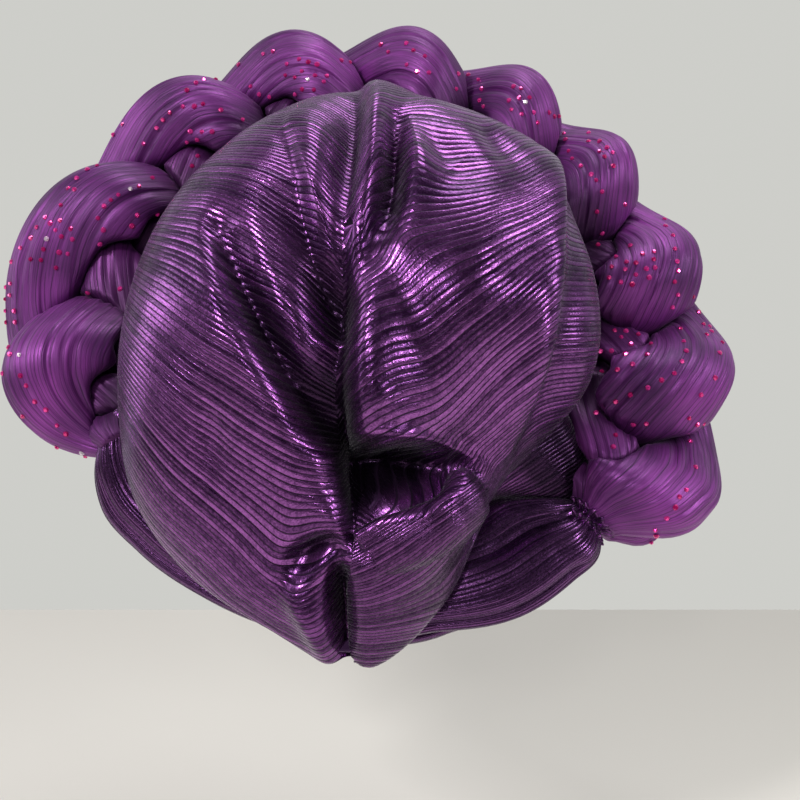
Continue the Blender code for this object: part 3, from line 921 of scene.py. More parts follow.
@dataclass
class CrownBag:
    """The pleated cap and the bag that hangs over the back of the head."""

    sizes: HaloSizes = SIZES
    spokes: int = 740
    under_rows: int = 22
    back_rows: int = 192
    coarse_spokes: int = 160
    coarse_step: int = 3
    coarse_rounds: int = 500
    fine_rounds: int = 40
    left_nearness: float = 0.115
    right_nearness: float = 0.105
    left_closer: float = 1.18
    rib_pitch: float = 0.0021
    roll_depth: float = 0.00002
    roll_ribs: float = 4.3
    roll_swing: Pair = (2.2, 38.0)
    roll_fade_ribs: float = 11.7
    tail_sink: float = 0.44
    tail_half_degrees: float = 75.0
    lining_gap: float = 0.0018
    fold_rounding: float = 0.018
    left_cut: Pair = (0.27, 0.21)
    right_cut: Pair = (0.29, 0.22)
    lining_cut: Pair = (0.38, 0.30)
    outline: Table = (
        # angle, radius as a share of the crown's radius
        (-180.0, 1.51), (-165.0, 1.42), (-150.0, 1.35), (-135.0, 1.26), (-120.0, 1.12),
        (-105.0, 1.02), (-88.0, 0.945), (-60.0, 0.880), (-35.0, 0.860), (-12.0, 0.895),
        (4.0, 0.960), (20.0, 0.925), (46.0, 0.985), (62.0, 1.000), (90.0, 1.02),
        (114.0, 1.04), (130.0, 1.00), (142.0, 0.99), (153.0, 1.08), (166.0, 1.32),
    )
    gusset: Colour = (127.5, 11.0, 0.034)
    under: Table = (
        # spread from rim to outline, rise over the braid's half depth, over the band
        (0.00, 0.46, 1.10), (0.34, 1.08, 1.20), (0.74, 1.30, 1.28),
    )
    back: Table = (
        # radius over outline, rise over the crown's depth
        (1.000, 0.41), (0.985, 0.52), (0.930, 0.65), (0.840, 0.765), (0.720, 0.855),
        (0.580, 0.925), (0.430, 0.968), (0.280, 0.990), (0.130, 1.000), (0.040, 1.002),
    )
    folds: tuple[tuple[str | float, ...], ...] = (
        # name, across 1, up 1, across 2, up 2, across 3, up 3, width to its left going
        # from 1 to 3, width to its right, depth
        ("centre valley, top", 0.00, 1.02, -0.01, 0.67, -0.045, 0.27, 0.100, 0.050, -0.95),
        ("centre valley, middle", -0.045, 0.29, -0.04, 0.08, -0.05, -0.09, 0.12, 0.05, -0.95),
        ("centre valley, low", -0.05, -0.07, -0.07, -0.34, -0.05, -0.52, 0.130, 0.060, -1.20),
        ("right panel's rounded edge", 0.06, 0.10, 0.04, -0.20, 0.06, -0.46, 0.07, 0.11, 0.34),
        ("valley into the hollow", -0.04, -0.44, 0.00, -0.60, 0.03, -0.82, 0.050, 0.12, -1.6),
        ("left diagonal valley", -0.53, 0.36, -0.42, 0.05, -0.06, -0.51, 0.048, 0.110, -1.00),
        ("edge below that valley", -0.58, 0.33, -0.475, 0.02, -0.115, -0.54, 0.16, 0.035, 0.34),
        ("edge above that valley", -0.39, 0.17, -0.20, -0.07, -0.07, -0.30, 0.070, 0.140, 0.34),
        ("second left edge", -0.25, 0.79, -0.14, 0.52, -0.04, 0.19, 0.040, 0.140, 0.45),
        ("second left valley", -0.24, 0.58, -0.20, 0.26, -0.07, 0.00, 0.140, 0.050, -0.60),
        ("top left dent", -0.31, 0.80, -0.23, 0.72, -0.19, 0.60, 0.060, 0.060, -0.25),
        ("left dent", -0.67, 0.47, -0.62, 0.28, -0.55, 0.08, 0.080, 0.080, -0.15),
        ("lower left dent", -0.54, -0.33, -0.52, -0.44, -0.54, -0.58, 0.060, 0.060, -0.20),
        ("small centre fold", 0.07, 0.98, 0.05, 0.67, 0.00, 0.27, 0.070, 0.070, 0.38),
        ("pocket", 0.17, 0.83, 0.17, 0.59, 0.13, 0.36, 0.055, 0.050, -0.95),
        ("pocket's tail", 0.12, 0.44, 0.05, 0.27, -0.01, 0.02, 0.060, 0.060, -0.40),
        ("ridge by the pocket", 0.23, 0.86, 0.24, 0.65, 0.16, 0.31, 0.050, 0.120, 0.45),
        ("top dip", 0.22, 0.93, 0.28, 0.72, 0.39, 0.61, 0.080, 0.080, -0.42),
        ("second top dip", 0.51, 0.83, 0.57, 0.72, 0.62, 0.60, 0.060, 0.060, -0.25),
        ("right bulge", 0.19, -0.28, 0.42, 0.08, 0.55, 0.52, 0.260, 0.260, 0.60),
        ("right shoulder", 0.57, 0.60, 0.47, 0.37, 0.44, 0.19, 0.150, 0.150, 0.20),
        ("right edge ridge, top", 0.79, 0.76, 0.78, 0.50, 0.76, 0.18, 0.130, 0.040, 0.50),
        ("right edge ridge, low", 0.76, 0.21, 0.74, -0.14, 0.60, -0.48, 0.130, 0.040, 0.50),
        ("right edge valley", 0.90, 0.54, 0.94, 0.04, 0.69, -0.45, 0.080, 0.100, -0.55),
        ("lip over the hollow", 0.06, -0.42, 0.25, -0.42, 0.46, -0.53, 0.120, 0.035, 0.42),
        ("hollow", 0.02, -0.64, 0.18, -0.58, 0.39, -0.56, 0.070, 0.115, -2.3),
        ("rolled ridge", -0.04, -0.92, 0.24, -0.84, 0.47, -0.58, 0.045, 0.090, 0.40),
        ("curl valley", -0.04, -0.84, -0.18, -0.84, -0.26, -0.97, 0.050, 0.050, -0.75),
        ("curl ridge", -0.26, -0.99, -0.17, -1.11, -0.08, -1.33, 0.060, 0.060, 0.45),
        ("gap under the flap", -0.06, -0.91, -0.05, -1.10, -0.03, -1.34, 0.050, 0.050, -1.10),
    )
    seam: Table = (
        # up, across: the line where the two panels meet
        (1.60, 0.01), (0.95, 0.00), (0.67, -0.01), (0.27, -0.045), (0.10, -0.04),
        (-0.09, -0.05), (-0.29, -0.07), (-0.52, -0.05), (-0.59, 0.00), (-0.76, 0.09),
        (-0.90, -0.04), (-1.10, -0.05), (-1.34, -0.03), (-1.80, -0.03),
    )
    left_ribs: Table = (
        # across, up, direction in degrees from the level
        (-0.11, 0.86, -4), (-0.49, 0.91, -8), (-0.02, 0.90, -35), (-0.48, 0.68, -12),
        (-0.74, 0.61, -8), (-0.71, 0.34, -5), (-0.53, 0.32, -32), (-0.35, 0.49, -30),
        (-0.24, 0.37, -38), (-0.08, 0.60, -48), (-0.13, 0.30, -55), (-0.39, 0.20, -38),
        (-0.68, 0.10, -12), (-0.70, -0.04, -18), (-0.79, -0.20, -33), (-0.50, -0.18, -20),
        (-0.50, 0.01, -15), (-0.28, -0.26, -22), (-0.68, -0.36, -33), (-0.45, -0.42, -27),
        (-0.17, -0.47, -27), (-0.63, -0.53, -30), (-0.81, -0.57, -50), (-0.35, -0.58, -27),
        (-0.28, 0.04, -46), (-0.17, -0.17, -45), (-0.09, 0.06, -55), (-0.50, -0.73, -30),
        (-0.35, -0.78, -28), (-0.62, -0.82, -38), (-0.41, -0.95, -40), (-0.30, -0.92, -40),
        (-0.26, -0.96, -5), (-0.19, -0.91, 35), (-0.16, -1.06, 38), (-0.31, -1.12, -25),
        (-0.15, -1.23, 8), (-0.37, -1.20, -28), (-0.20, -1.28, -15), (-0.07, -0.72, -22),
        (0.00, -0.67, -35),
    )
    right_ribs: Table = (
        # across, up, direction in degrees from the level
        (0.07, 0.89, 40), (0.05, 0.73, 55), (0.23, 0.69, -35), (0.19, 0.76, -10),
        (0.39, 0.68, -5), (0.39, 0.53, 8), (0.52, 0.53, 16), (0.66, 0.62, 42),
        (0.69, 0.48, 48), (0.32, 0.32, 15), (0.58, 0.30, 34), (0.19, 0.19, 28),
        (0.04, 0.28, 60), (0.44, 0.07, 24), (0.71, 0.28, 45), (0.81, 0.24, -10),
        (0.92, 0.42, -18), (0.02, 0.03, 50), (0.12, 0.59, 70), (0.25, 0.46, -5),
        (0.14, 0.09, 27), (0.08, -0.06, 40), (-0.01, -0.18, 55), (0.20, -0.15, 32),
        (0.45, 0.03, 24), (0.38, -0.12, 30), (0.64, 0.01, 40), (0.70, 0.10, 45),
        (0.13, -0.34, 35), (0.39, -0.30, 35), (0.58, -0.17, 40), (0.27, -0.46, 38),
        (0.52, -0.40, 45), (0.00, -0.43, 60), (0.42, -0.53, 48), (0.83, 0.08, -8),
        (0.79, -0.08, 0), (0.79, -0.17, -3), (0.72, -0.27, 5), (0.67, -0.37, 25),
        (0.63, -0.44, 30), (0.08, -0.63, 50), (0.29, -0.59, 40), (0.09, -0.94, -5),
        (0.09, -1.09, 0), (0.02, -1.23, -10), (0.16, -0.87, 8), (0.29, -0.84, 25),
        (0.22, -1.02, 15), (0.12, -1.19, 10), (0.37, -0.76, 45),
    )

    def outline_radius(self, degrees: Array) -> Array:
        """Radius of the bag's outline, never inside the rim."""
        share = smooth_curve(wrap_degrees(degrees), self.outline, 1, 360.0)
        return np.maximum(self.sizes.crown_radius * share,
                          self.sizes.rim(degrees) + 4 * self.sizes.sewn_gap)

    def plain_surface(self, degrees: Array, rows: Array,
                      swollen: float = 1.0) -> Array:
        """The bag without folds: a profile from rim to apex, carried round the spokes.

        Args:
            degrees: angle of each spoke.
            rows: places along the profile, in profile rows.
            swollen: how much of the bulge under its right edge it has.

        Returns:
            World points, spokes by rows.
        """
        rim, outline = self.sizes.rim(degrees), self.outline_radius(degrees)
        nape = np.abs(np.abs(wrap_degrees(degrees)) - 180.0) / self.tail_half_degrees
        tail = 0.5 * (1 + np.cos(math.pi * np.minimum(nape, 1.0)))
        radii, rises = [rim], [np.full_like(rim, -self.sizes.rim_front)]
        middle, width, reach = self.gusset
        bulge = swollen * bell(wrap_degrees(degrees), middle, width)
        for number, (spread, over_braid, over_band) in enumerate(self.under):
            out = bulge if number == 0 else 0 * bulge
            radii.append(rim + spread * (outline - rim) + reach * out)
            rises.append((self.sizes.braid_half_depth * over_braid * (1 - tail)
                          + self.sizes.band_thickness * over_band * tail) * (1 - 0.75 * out))
        for share, rise in self.back:
            radii.append(outline * share)
            rises.append(self.sizes.crown_depth * rise * (1 - self.tail_sink * tail * share ** 2))
        knots = np.arange(len(radii), dtype=float)
        low = np.clip(np.searchsorted(knots, rows, side="right") - 1, 0, len(knots) - 2)
        share = rows - low
        curves = []
        for lines in (np.stack(radii, axis=-1), np.stack(rises, axis=-1)):
            slopes = np.gradient(lines, axis=1)
            curves.append(hermite(share, lines[:, low], lines[:, low + 1], slopes[:, low],
                                  slopes[:, low + 1]))
        return self.sizes.points(degrees[:, None], curves[0], curves[1])

    def fold_height(self, across: Array, up: Array) -> Array:
        """All the folds together: each a bell across its curve, fading at both ends.

        Args:
            across: places across, as shares of the crown's radius.
            up: places up, likewise.

        Returns:
            Height over the plain surface in metres.
        """
        height = np.zeros(across.shape)
        share = np.linspace(0.0, 1.0, 40)
        for _, x0, h0, x1, h1, x2, h2, left, right, amount in self.folds:
            line_x = (1 - share) ** 2 * x0 + 2 * share * (1 - share) * x1 + share ** 2 * x2
            line_h = (1 - share) ** 2 * h0 + 2 * share * (1 - share) * h1 + share ** 2 * h2
            most = 3 * max(left, right)
            near = ((across > line_x.min() - most) & (across < line_x.max() + most)
                    & (up > line_h.min() - most) & (up < line_h.max() + most))
            off_x, off_h = across[near][:, None] - line_x, up[near][:, None] - line_h
            far = np.hypot(off_x, off_h)
            nearest = far.argmin(axis=-1)
            way_x, way_h = np.gradient(line_x)[nearest], np.gradient(line_h)[nearest]
            row = np.arange(len(nearest))
            off_x, off_h = off_x[row, nearest], off_h[row, nearest]
            slide = (off_x * way_x + off_h * way_h) / (way_x ** 2 + way_h ** 2)
            slide = np.clip(slide, np.where(nearest == 0, 0.0, -0.5),
                            np.where(nearest == len(share) - 1, 0.0, 0.5))
            off_x, off_h = off_x - slide * way_x, off_h - slide * way_h
            far = np.hypot(off_x, off_h)
            side = way_x * off_h - way_h * off_x
            side = side / (np.hypot(way_x, way_h) * (far + self.fold_rounding))
            width = left + (right - left) * smoothstep(-0.6, 0.6, side)
            fade = np.sin(math.pi * (0.12 + 0.76 * (nearest + slide) / (len(share) - 1)))
            height[near] += amount * fade * bell(far, 0.0, width)
        return self.sizes.fold_scale * height

    def rows_used(self) -> Array:
        """Places along the profile: few under the bag, many over its back."""
        edge = 1 + len(self.under)
        last = len(self.under) + len(self.back)
        under = np.linspace(0.0, edge - 1, self.under_rows, endpoint=False)
        return np.concatenate([under, np.linspace(edge - 1, last, self.back_rows)])

    def folded(self, points: Array, rows: Array) -> tuple[Array, Array]:
        """Move the plain surface in and out along its normals by the folds.

        Args:
            points: the plain surface.
            rows: its places along the profile.

        Returns:
            The folded points and the plain surface's normals.
        """
        normal = grid_normals(points, around=True)
        across, up = self.sizes.fold_plane(points)
        seen = smoothstep(len(self.under) - 0.2, len(self.under) + 1.6, rows)
        return points + normal * (self.fold_height(across, up) * seen)[..., None], normal

    def rib_fields(self, panel: Panel) -> tuple[Array, Array]:
        """Places across and along one panel's ribs, solved first coarsely, then finely.

        Args:
            panel: which panel's directions to follow.

        Returns:
            Two grids in metres on the fine surface's points.
        """
        table, reach, closer = {
            Panel.LEFT: (self.left_ribs, self.left_nearness, self.left_closer),
            Panel.RIGHT: (self.right_ribs, self.right_nearness, 1.0),
        }[panel]
        rows = self.rows_used()
        fields = None
        coarse = rows[::self.coarse_step]
        for spokes, used, steps in ((self.coarse_spokes, coarse, self.coarse_rounds),
                                    (self.spokes, rows, self.fine_rounds)):
            degrees = np.arange(spokes) * 360.0 / spokes
            points = self.plain_surface(degrees, used)
            normal = grid_normals(points, around=True)
            angle = rib_angles(*self.sizes.fold_plane(points), table, reach)
            lean = self.sizes.view_lean
            upward = np.array([0.0, math.sin(lean), math.cos(lean)])
            onward = np.array([0.0, -math.cos(lean), math.sin(lean)])
            flat = (np.cos(angle)[..., None] * np.array([1.0, 0.0, 0.0])
                    + np.sin(angle)[..., None] * upward)
            facing = np.maximum((normal * onward).sum(axis=-1, keepdims=True), 0.30)
            along = flat - (flat * normal).sum(axis=-1, keepdims=True) / facing * onward
            along -= (along * normal).sum(axis=-1, keepdims=True) * normal
            along /= np.linalg.norm(along, axis=-1, keepdims=True)
            across = np.cross(normal, along)
            if fields is None:
                starts = [np.zeros(points.shape[:2]), np.zeros(points.shape[:2])]
            else:
                starts = [self._refine(field, coarse, rows) for field in fields]
            fields = [field_along(points, wanted, start, steps)
                      for wanted, start in zip((across, along), starts)]
        return closer * fields[0] / self._slope(points, fields[0]), fields[1]

    def _slope(self, points: Array, field: Array) -> float:
        """How much a field usually changes for each metre along the bag's back."""
        around = np.linalg.norm(np.roll(points, -1, axis=0) - points, axis=-1)[:, :-1]
        onward = np.linalg.norm(np.diff(points, axis=1), axis=-1)
        slopes = np.hypot((np.roll(field, -1, axis=0) - field)[:, :-1] / around,
                          np.diff(field, axis=1) / onward)
        slope = float(np.median(slopes[:, self.under_rows:]))
        LOG.info("rib field slope %.2f", slope)
        return slope

    def _refine(self, field: Array, rows: Array, fine_rows: Array) -> Array:
        """Read a coarse closed grid at the fine grid's places, in straight lines between."""
        spokes = np.arange(self.spokes) * len(field) / self.spokes
        ring = closed(field)
        low = np.floor(spokes).astype(int)
        share = (spokes - low)[:, None]
        rounds = ring[low] * (1 - share) + ring[low + 1] * share
        return np.stack([np.interp(fine_rows, rows, line) for line in rounds])

    def build(self, finish: bpy.types.Material, lining: bpy.types.Material) -> ClothGrid:
        """Make, dress and declare both panels and the lining.

        Args:
            finish: the ribbed cloth.
            lining: the plain inner cloth.

        Returns:
            The whole outer surface, for the flap to lie on.
        """
        rows = self.rows_used()
        degrees = np.arange(self.spokes) * 360.0 / self.spokes
        plain = self.plain_surface(degrees, rows)
        points, normal = self.folded(plain, rows)
        fold = ((points - plain) * normal).sum(axis=-1) / self.sizes.fold_scale
        # Painted shade, darkest deep in the valleys of the folds.
        crease = smoothstep(0.15, 1.15, -fold)
        # Painted shade on the gusset under the bag's right edge, on the rows under the bag.
        middle, width, _ = self.gusset
        shade = np.minimum(0.95, 1.5 * bell(wrap_degrees(degrees), middle, width))[:, None]
        crease = np.maximum(crease, shade * (rows < len(self.under))[None, :])
        fields = {panel: self.rib_fields(panel) for panel in Panel}
        across, up = self.sizes.fold_plane(points)
        seam = np.array(self.seam)[::-1]
        right = across > np.interp(up, seam[:, 0], seam[:, 1])
        rib = np.where(right, fields[Panel.RIGHT][0], fields[Panel.LEFT][0])
        along = np.where(right, fields[Panel.RIGHT][1], fields[Panel.LEFT][1])
        ribs = rib / self.rib_pitch
        swing, rate = self.roll_swing
        roll = np.sin(TURN * ribs / self.roll_ribs + swing * np.sin(along * rate))
        roll = roll * (0.6 + 0.4 * np.sin(TURN * ribs / self.roll_fade_ribs + 1.0))
        shown = smoothstep(len(self.under) + 0.4, len(self.under) + 2.0, rows)[None, :]
        points = points + normal * (self.roll_depth * roll * shown)[..., None]
        whole = None
        for panel in Panel:
            corner = {"crease": closed(crease), "rib": closed(fields[panel][0] / self.rib_pitch),
                      "along": closed(fields[panel][1])}
            grid = ClothGrid(f"crown_{panel.value}_panel", points, corner, around=True)
            here = right if panel is Panel.RIGHT else ~right
            keep = here[:, :-1] & np.ones((self.spokes, len(rows) - 1), dtype=bool)
            if panel is Panel.RIGHT:
                grid.last_pole = points[:, -1].mean(axis=0)
                whole = grid
            piece = grid.build(keep)
            declare(piece, finish, "crown_bag")
        low = fold * self.sizes.fold_scale
        for axis in (0, 1):
            low = np.min([np.roll(low, step, axis=axis) for step in range(-8, 9)], axis=0)
        low[:, :10] = 0.0
        bare = self.plain_surface(degrees, rows, 0.0)
        normal = grid_normals(bare, around=True)
        inner = (bare + normal * (low - self.lining_gap)[..., None])[::4, ::4]
        inner = np.concatenate([points[::4, :1], inner], axis=1)
        flat = np.zeros((inner.shape[0] + 1, inner.shape[1]))
        cap = ClothGrid("crown_lining", inner, {"along": flat}, around=True, flip=True,
                        last_pole=inner[:, -1].mean(axis=0))
        piece = cap.build()
        declare(piece, lining, "crown_bag")
        return whole


@dataclass
class TailFlap:
    """The right panel's lower end, folded over the left one below the rolled ridge."""

    sizes: HaloSizes = SIZES
    columns: int = 150
    rows: int = 130
    edge_row: float = 4.0
    rows_each: float = 8.0 / 12.0
    wall: float = 0.0012
    cut: Pair = (0.088, 0.078)
    rest_gap: float = 0.0008
    roll_rise: float = 1.6
    roll_radius: float = 0.0062
    roll_rows: int = 34
    roll_turn: float = 3.7
    evened: float = 10.0
    # Painted shade laid over the whole flap.
    shade: float = 0.42
    rib_lean: float = 0.62
    rib_crowding: float = 1.75
    top: Table = (
        # angle, how far up the bag it reaches
        (150.0, 3.4), (162.0, 4.8), (171.0, 5.5), (180.0, 5.6),
    )

    def build(self, bag: CrownBag, whole: ClothGrid, finish: bpy.types.Material) -> None:
        """Lay the flap on the bag: the bag's own points, lifted more towards its free edges.

        Args:
            bag: the bag that it lies on.
            whole: the bag's outer surface with its right panel's rib places.
            finish: the ribbed cloth.
        """
        rows_used = bag.rows_used()
        angle = np.linspace(self.top[0][0], self.top[-1][0], self.columns)
        spokes = angle * bag.spokes / 360.0
        reach = smooth_curve(angle, self.top, 1)[:, None] * self.rows_each
        upwards = np.linspace(0.0, 1.0, self.rows)[None, :]
        rows = np.interp(self.edge_row - 0.1 + (reach + 0.1) * upwards, rows_used,
                         np.arange(len(rows_used)))
        low_spoke = np.floor(spokes).astype(int)[:, None]
        low_row = np.floor(rows).astype(int)
        ahead, above = spokes[:, None] - low_spoke, rows - low_row

        def read(grid: Array) -> Array:
            """Values between the bag's grid points, in straight lines both ways."""
            a, b = ahead, above
            if grid.ndim == 3:
                a, b = a[..., None], b[..., None]
            near = grid[low_spoke, low_row] * (1 - b) + grid[low_spoke, low_row + 1] * b
            next_one = (grid[low_spoke + 1, low_row] * (1 - b)
                        + grid[low_spoke + 1, low_row + 1] * b)
            return near * (1 - a) + next_one * a

        normal = grid_normals(whole.points, around=True)
        across = np.linspace(0.0, 1.0, self.columns)[:, None]
        tuck = 1 - 0.75 * smoothstep(0.92, 1.0, across)
        slim = (0.35 + 0.65 * smoothstep(0.0, 0.75, 1 - across)) \
            * (0.20 + 0.80 * smoothstep(0.0, 0.28, across))
        radius = self.roll_radius * slim
        lift = (self.rest_gap + self.sizes.flap_lift * 0.5 * across ** 2 * tuck
                + self.roll_rise * radius * smoothstep(0.45, 1.0, upwards) * tuck)
        points = read(whole.points) + read(normal) * lift[..., None]
        corner = {label: read(values) for label, values in whole.corner.items()}
        out = grid_normals(points, around=False)[:, -1]
        onward = points[:, -1] - points[:, -6]
        onward = onward / np.linalg.norm(onward, axis=-1, keepdims=True)
        number = np.arange(self.columns)
        even = bell(number[:, None], number[None, :], self.evened)
        even /= even.sum(axis=1, keepdims=True)
        out, onward = (even @ out)[:, None], (even @ onward)[:, None]
        turn = np.linspace(0.0, self.roll_turn, self.roll_rows + 1)[None, 1:, None]
        curl = radius[..., None] * (1 - 0.10 * turn)
        rolled = points[:, -1:] + onward * curl * np.sin(turn) - out * curl * (1 - np.cos(turn))
        points = np.concatenate([points, rolled], axis=1)
        side, up = self.sizes.fold_plane(points[:, :self.rows])
        lean = self.rib_lean * smoothstep(-1.25, -0.75, up)
        ribs = self.rib_crowding * self.sizes.crown_radius * (up - lean * side) / bag.rib_pitch
        arc = radius * turn[..., 0] / bag.rib_pitch
        corner["rib"] = np.concatenate([ribs, ribs[:, -1:] + arc], axis=1)
        wide = self.sizes.crown_radius * side
        corner["along"] = np.concatenate([wide, wide[:, -1:] + 0 * arc], axis=1)
        # Painted shade: the flap is darkened all over and by half its folds' shade, and the inner
        # turns of its roll darker still.
        deep = corner["crease"]
        roll_inner_shade = smoothstep(0.5, 0.9, turn[..., 0] / self.roll_turn) + 0 * arc
        corner["crease"] = np.concatenate([np.maximum(self.shade, 0.5 * deep), roll_inner_shade], axis=1)
        piece = ClothGrid("tail_flap_cloth", points, corner).build()
        wall = piece.modifiers.new("wall", "SOLIDIFY")
        wall.thickness = self.wall
        wall.offset = 1.0
        declare(piece, finish, "tail_flap")


@dataclass
class NapeBand:
    """A gathered band of cloth that runs round the nape from a pinch."""

    name: str
    node: str
    course: Table
    folds: Table
    seed: int
    sizes: HaloSizes = SIZES
    sections: int = 230
    sides: int = 132
    ribs: float = 72.0
    squareness: float = 0.85
    pleat_lengths: float = 7.0
    pleat_depth: float = 0.00022
    pinch_reach: float = 0.16
    full_half: float = 0.016
    fill: float = 0.4

    def surface(self) -> ClothGrid:
        """Rounded ovals just outside the rim, pleated along the band.

        A fold is a bell across the band and along it; pleats deepen towards the pinch.

        Returns:
            A closed grid, columns round the band and rows along it.
        """
        start, end = self.course[0][0], self.course[-1][0]
        degrees = np.linspace(start, end, self.sections)
        rim = self.sizes.rim(degrees)[:, None]
        tall, deep_size = self.sizes.band_height, self.sizes.band_thickness
        middle = tall * smooth_curve(degrees, self.course, 1)[:, None]
        half = tall * smooth_curve(degrees, self.course, 2)[:, None]
        rise = deep_size * smooth_curve(degrees, self.course, 3)[:, None]
        deep = deep_size * smooth_curve(degrees, self.course, 4)[:, None]
        place = (np.arange(self.sides) / self.sides)[None, :]
        turn = TURN * place
        out, up = (np.sign(wave) * np.abs(wave) ** self.squareness
                   for wave in (np.cos(turn), np.sin(turn)))
        share = np.linspace(0.0, 1.0, self.sections)[:, None]
        pleat = wave_sum(place, share * self.pleat_lengths, (17, 26, 37, 12), self.seed)
        near = np.exp(-share / self.pinch_reach)
        swell = self.pleat_depth * (0.7 + 2.0 * near) * pleat * smoothstep(0.0, 0.02, share)
        for at, begin, finish, width, depth in self.folds:
            gap = (place - at + 0.5) % 1.0 - 0.5
            length = smoothstep(begin, begin + 0.08, share)
            length = length * (1 - smoothstep(finish - 0.2, finish, share))
            swell = swell + depth * length * bell(gap, 0.0, width)
        swell = swell * np.minimum(1.0, half / self.full_half)
        radius = np.maximum(rim + middle + (half + swell) * out, rim + self.sizes.sewn_gap)
        points = self.sizes.points(degrees[:, None], radius, rise + (deep + swell) * up)
        along = run_length(points.mean(axis=1))
        wide = np.arange(self.sides + 1)[:, None] / self.sides
        corner = {"rib": self.ribs * wide + 0 * along[None, :], "along": 0 * wide + along[None, :]}
        return tube(self.name, points, corner, flip=end > start)

    def build(self, finish: bpy.types.Material) -> None:
        declare(self.surface().build(), finish, self.node)


@dataclass
class PinchGathers:
    """The puckered cloth where the braid is squeezed into a nape band."""

    name: str
    degrees: float
    radius: float
    rise: float
    length: float
    half_size: Pair
    sizes: HaloSizes = SIZES
    sections: int = 70
    sides: int = 120
    puckers: int = 17
    rows: int = 3
    ribs: float = 26.0

    def build(self, finish: bpy.types.Material) -> None:
        """A short sleeve round the pinch: rows of rounded puckers, drawn in at both ends.

        Args:
            finish: the ribbed cloth.
        """
        share = np.linspace(-1.0, 1.0, self.sections)[:, None]
        place = (np.arange(self.sides) / self.sides)[None, :]
        turn = TURN * place
        swell = 0.80 + 0.16 * np.cos(math.pi * self.rows * share)
        swell = swell * (1 - 0.42 * share ** 4)
        shift = 0.9 * np.round(share * self.rows / 2)
        pucker = 0.11 * np.cos(self.puckers * turn + shift + 0.8 * np.sin(3 * turn))
        pucker = pucker + 0.05 * wave_sum(place, share * 3.0, (9, 14, 23), 91)
        size = swell * (1 + pucker)
        degrees = self.degrees + np.degrees(self.length / self.radius) * share
        points = self.sizes.points(degrees, self.radius + self.half_size[0] * size * np.cos(turn),
                                   self.rise + self.half_size[1] * size * np.sin(turn))
        wide = np.arange(self.sides + 1)[:, None] / self.sides
        # Painted shade in the hollows between the puckers.
        corner = {"rib": self.ribs * wide + 0 * share.T, "along": 0 * wide + self.length * share.T,
                  "crease": smoothstep(0.1, -0.12, closed(pucker.T)) * 0.45}
        declare(tube(self.name, points, corner).build(), finish)


@dataclass
class Rhinestones:
    """Small glass stones glued on the braid, each a cut dome on a flat back."""

    places: dict[int, Table]
    diameter: float = 0.0024
    height: float = 0.0008
    sides: int = 8
    table_share: float = 0.56
    lift: float = 0.00015
    spread: Pair = (0.85, 1.12)
    seed: int = 5

    def stones(self, braid: HaloBraid, strand: int,
               rng: np.random.Generator) -> tuple[Array, Array]:
        """Corners of one strand's stones: two rings each, set square to the cloth.

        Args:
            braid: the braid that they are glued on.
            strand: which strand, from 0.
            rng: source of sizes and turns.

        Returns:
            Corner points, stone by ring corner, and each stone's tone.
        """
        grid = braid.surface(strand).points
        normal = grid_normals(grid, around=True)
        rows = np.array(self.places[strand], dtype=float)
        first, last = braid.course[0][0], braid.course[-1][0]
        row = np.rint((rows[:, 0] - first) / (last - first) * (braid.sections - 1)).astype(int)
        column = np.rint(rows[:, 1] * braid.sides).astype(int) % braid.sides
        middle, up = grid[column, row], -normal[column, row]
        side = np.cross(up, np.roll(up, 1, axis=-1))
        side /= np.linalg.norm(side, axis=-1, keepdims=True)
        ahead = np.cross(up, side)
        count = len(rows)
        size = self.diameter / 2 * rng.uniform(*self.spread, count)[:, None, None]
        turn = (np.arange(self.sides) / self.sides + rng.uniform(0, 1, count)[:, None]) * TURN
        ring = (np.cos(turn)[..., None] * side[:, None] + np.sin(turn)[..., None] * ahead[:, None])
        low = middle[:, None] + size * ring + self.lift * up[:, None]
        high = low - (1 - self.table_share) * size * ring + self.height * up[:, None]
        return np.concatenate([low, high], axis=1), rng.uniform(0, 1, count)

    def build(self, braid: HaloBraid, finish: bpy.types.Material) -> None:
        """Join all the stones into one piece.

        Args:
            braid: the braid that they are glued on.
            finish: the cut glass.
        """
        rng = np.random.default_rng(self.seed)
        sets = [self.stones(braid, strand, rng) for strand in sorted(self.places)]
        corners = np.concatenate([one[0] for one in sets])
        tones = np.concatenate([one[1] for one in sets])
        ring = np.arange(self.sides)
        ahead = (ring + 1) % self.sides
        walls = np.stack([ring, ahead, ahead + self.sides, ring + self.sides], axis=1)
        faces = [*walls.tolist(), (ring + self.sides).tolist(), ring[::-1].tolist()]
        each = corners.shape[1]
        mesh = bpy.data.meshes.new("rhinestones")
        mesh.from_pydata(corners.reshape(-1, 3).tolist(), [],
                         [[corner + number * each for corner in face]
                          for number in range(len(corners)) for face in faces])
        sizes = [len(face) for face in faces]
        tone = mesh.attributes.new("tone", "FLOAT", "CORNER")
        tone.data.foreach_set("value", np.repeat(tones, sum(sizes)).astype(np.float32))
        declare(add_object("rhinestones", mesh), finish)
        LOG.info("rhinestones: %d", len(corners))


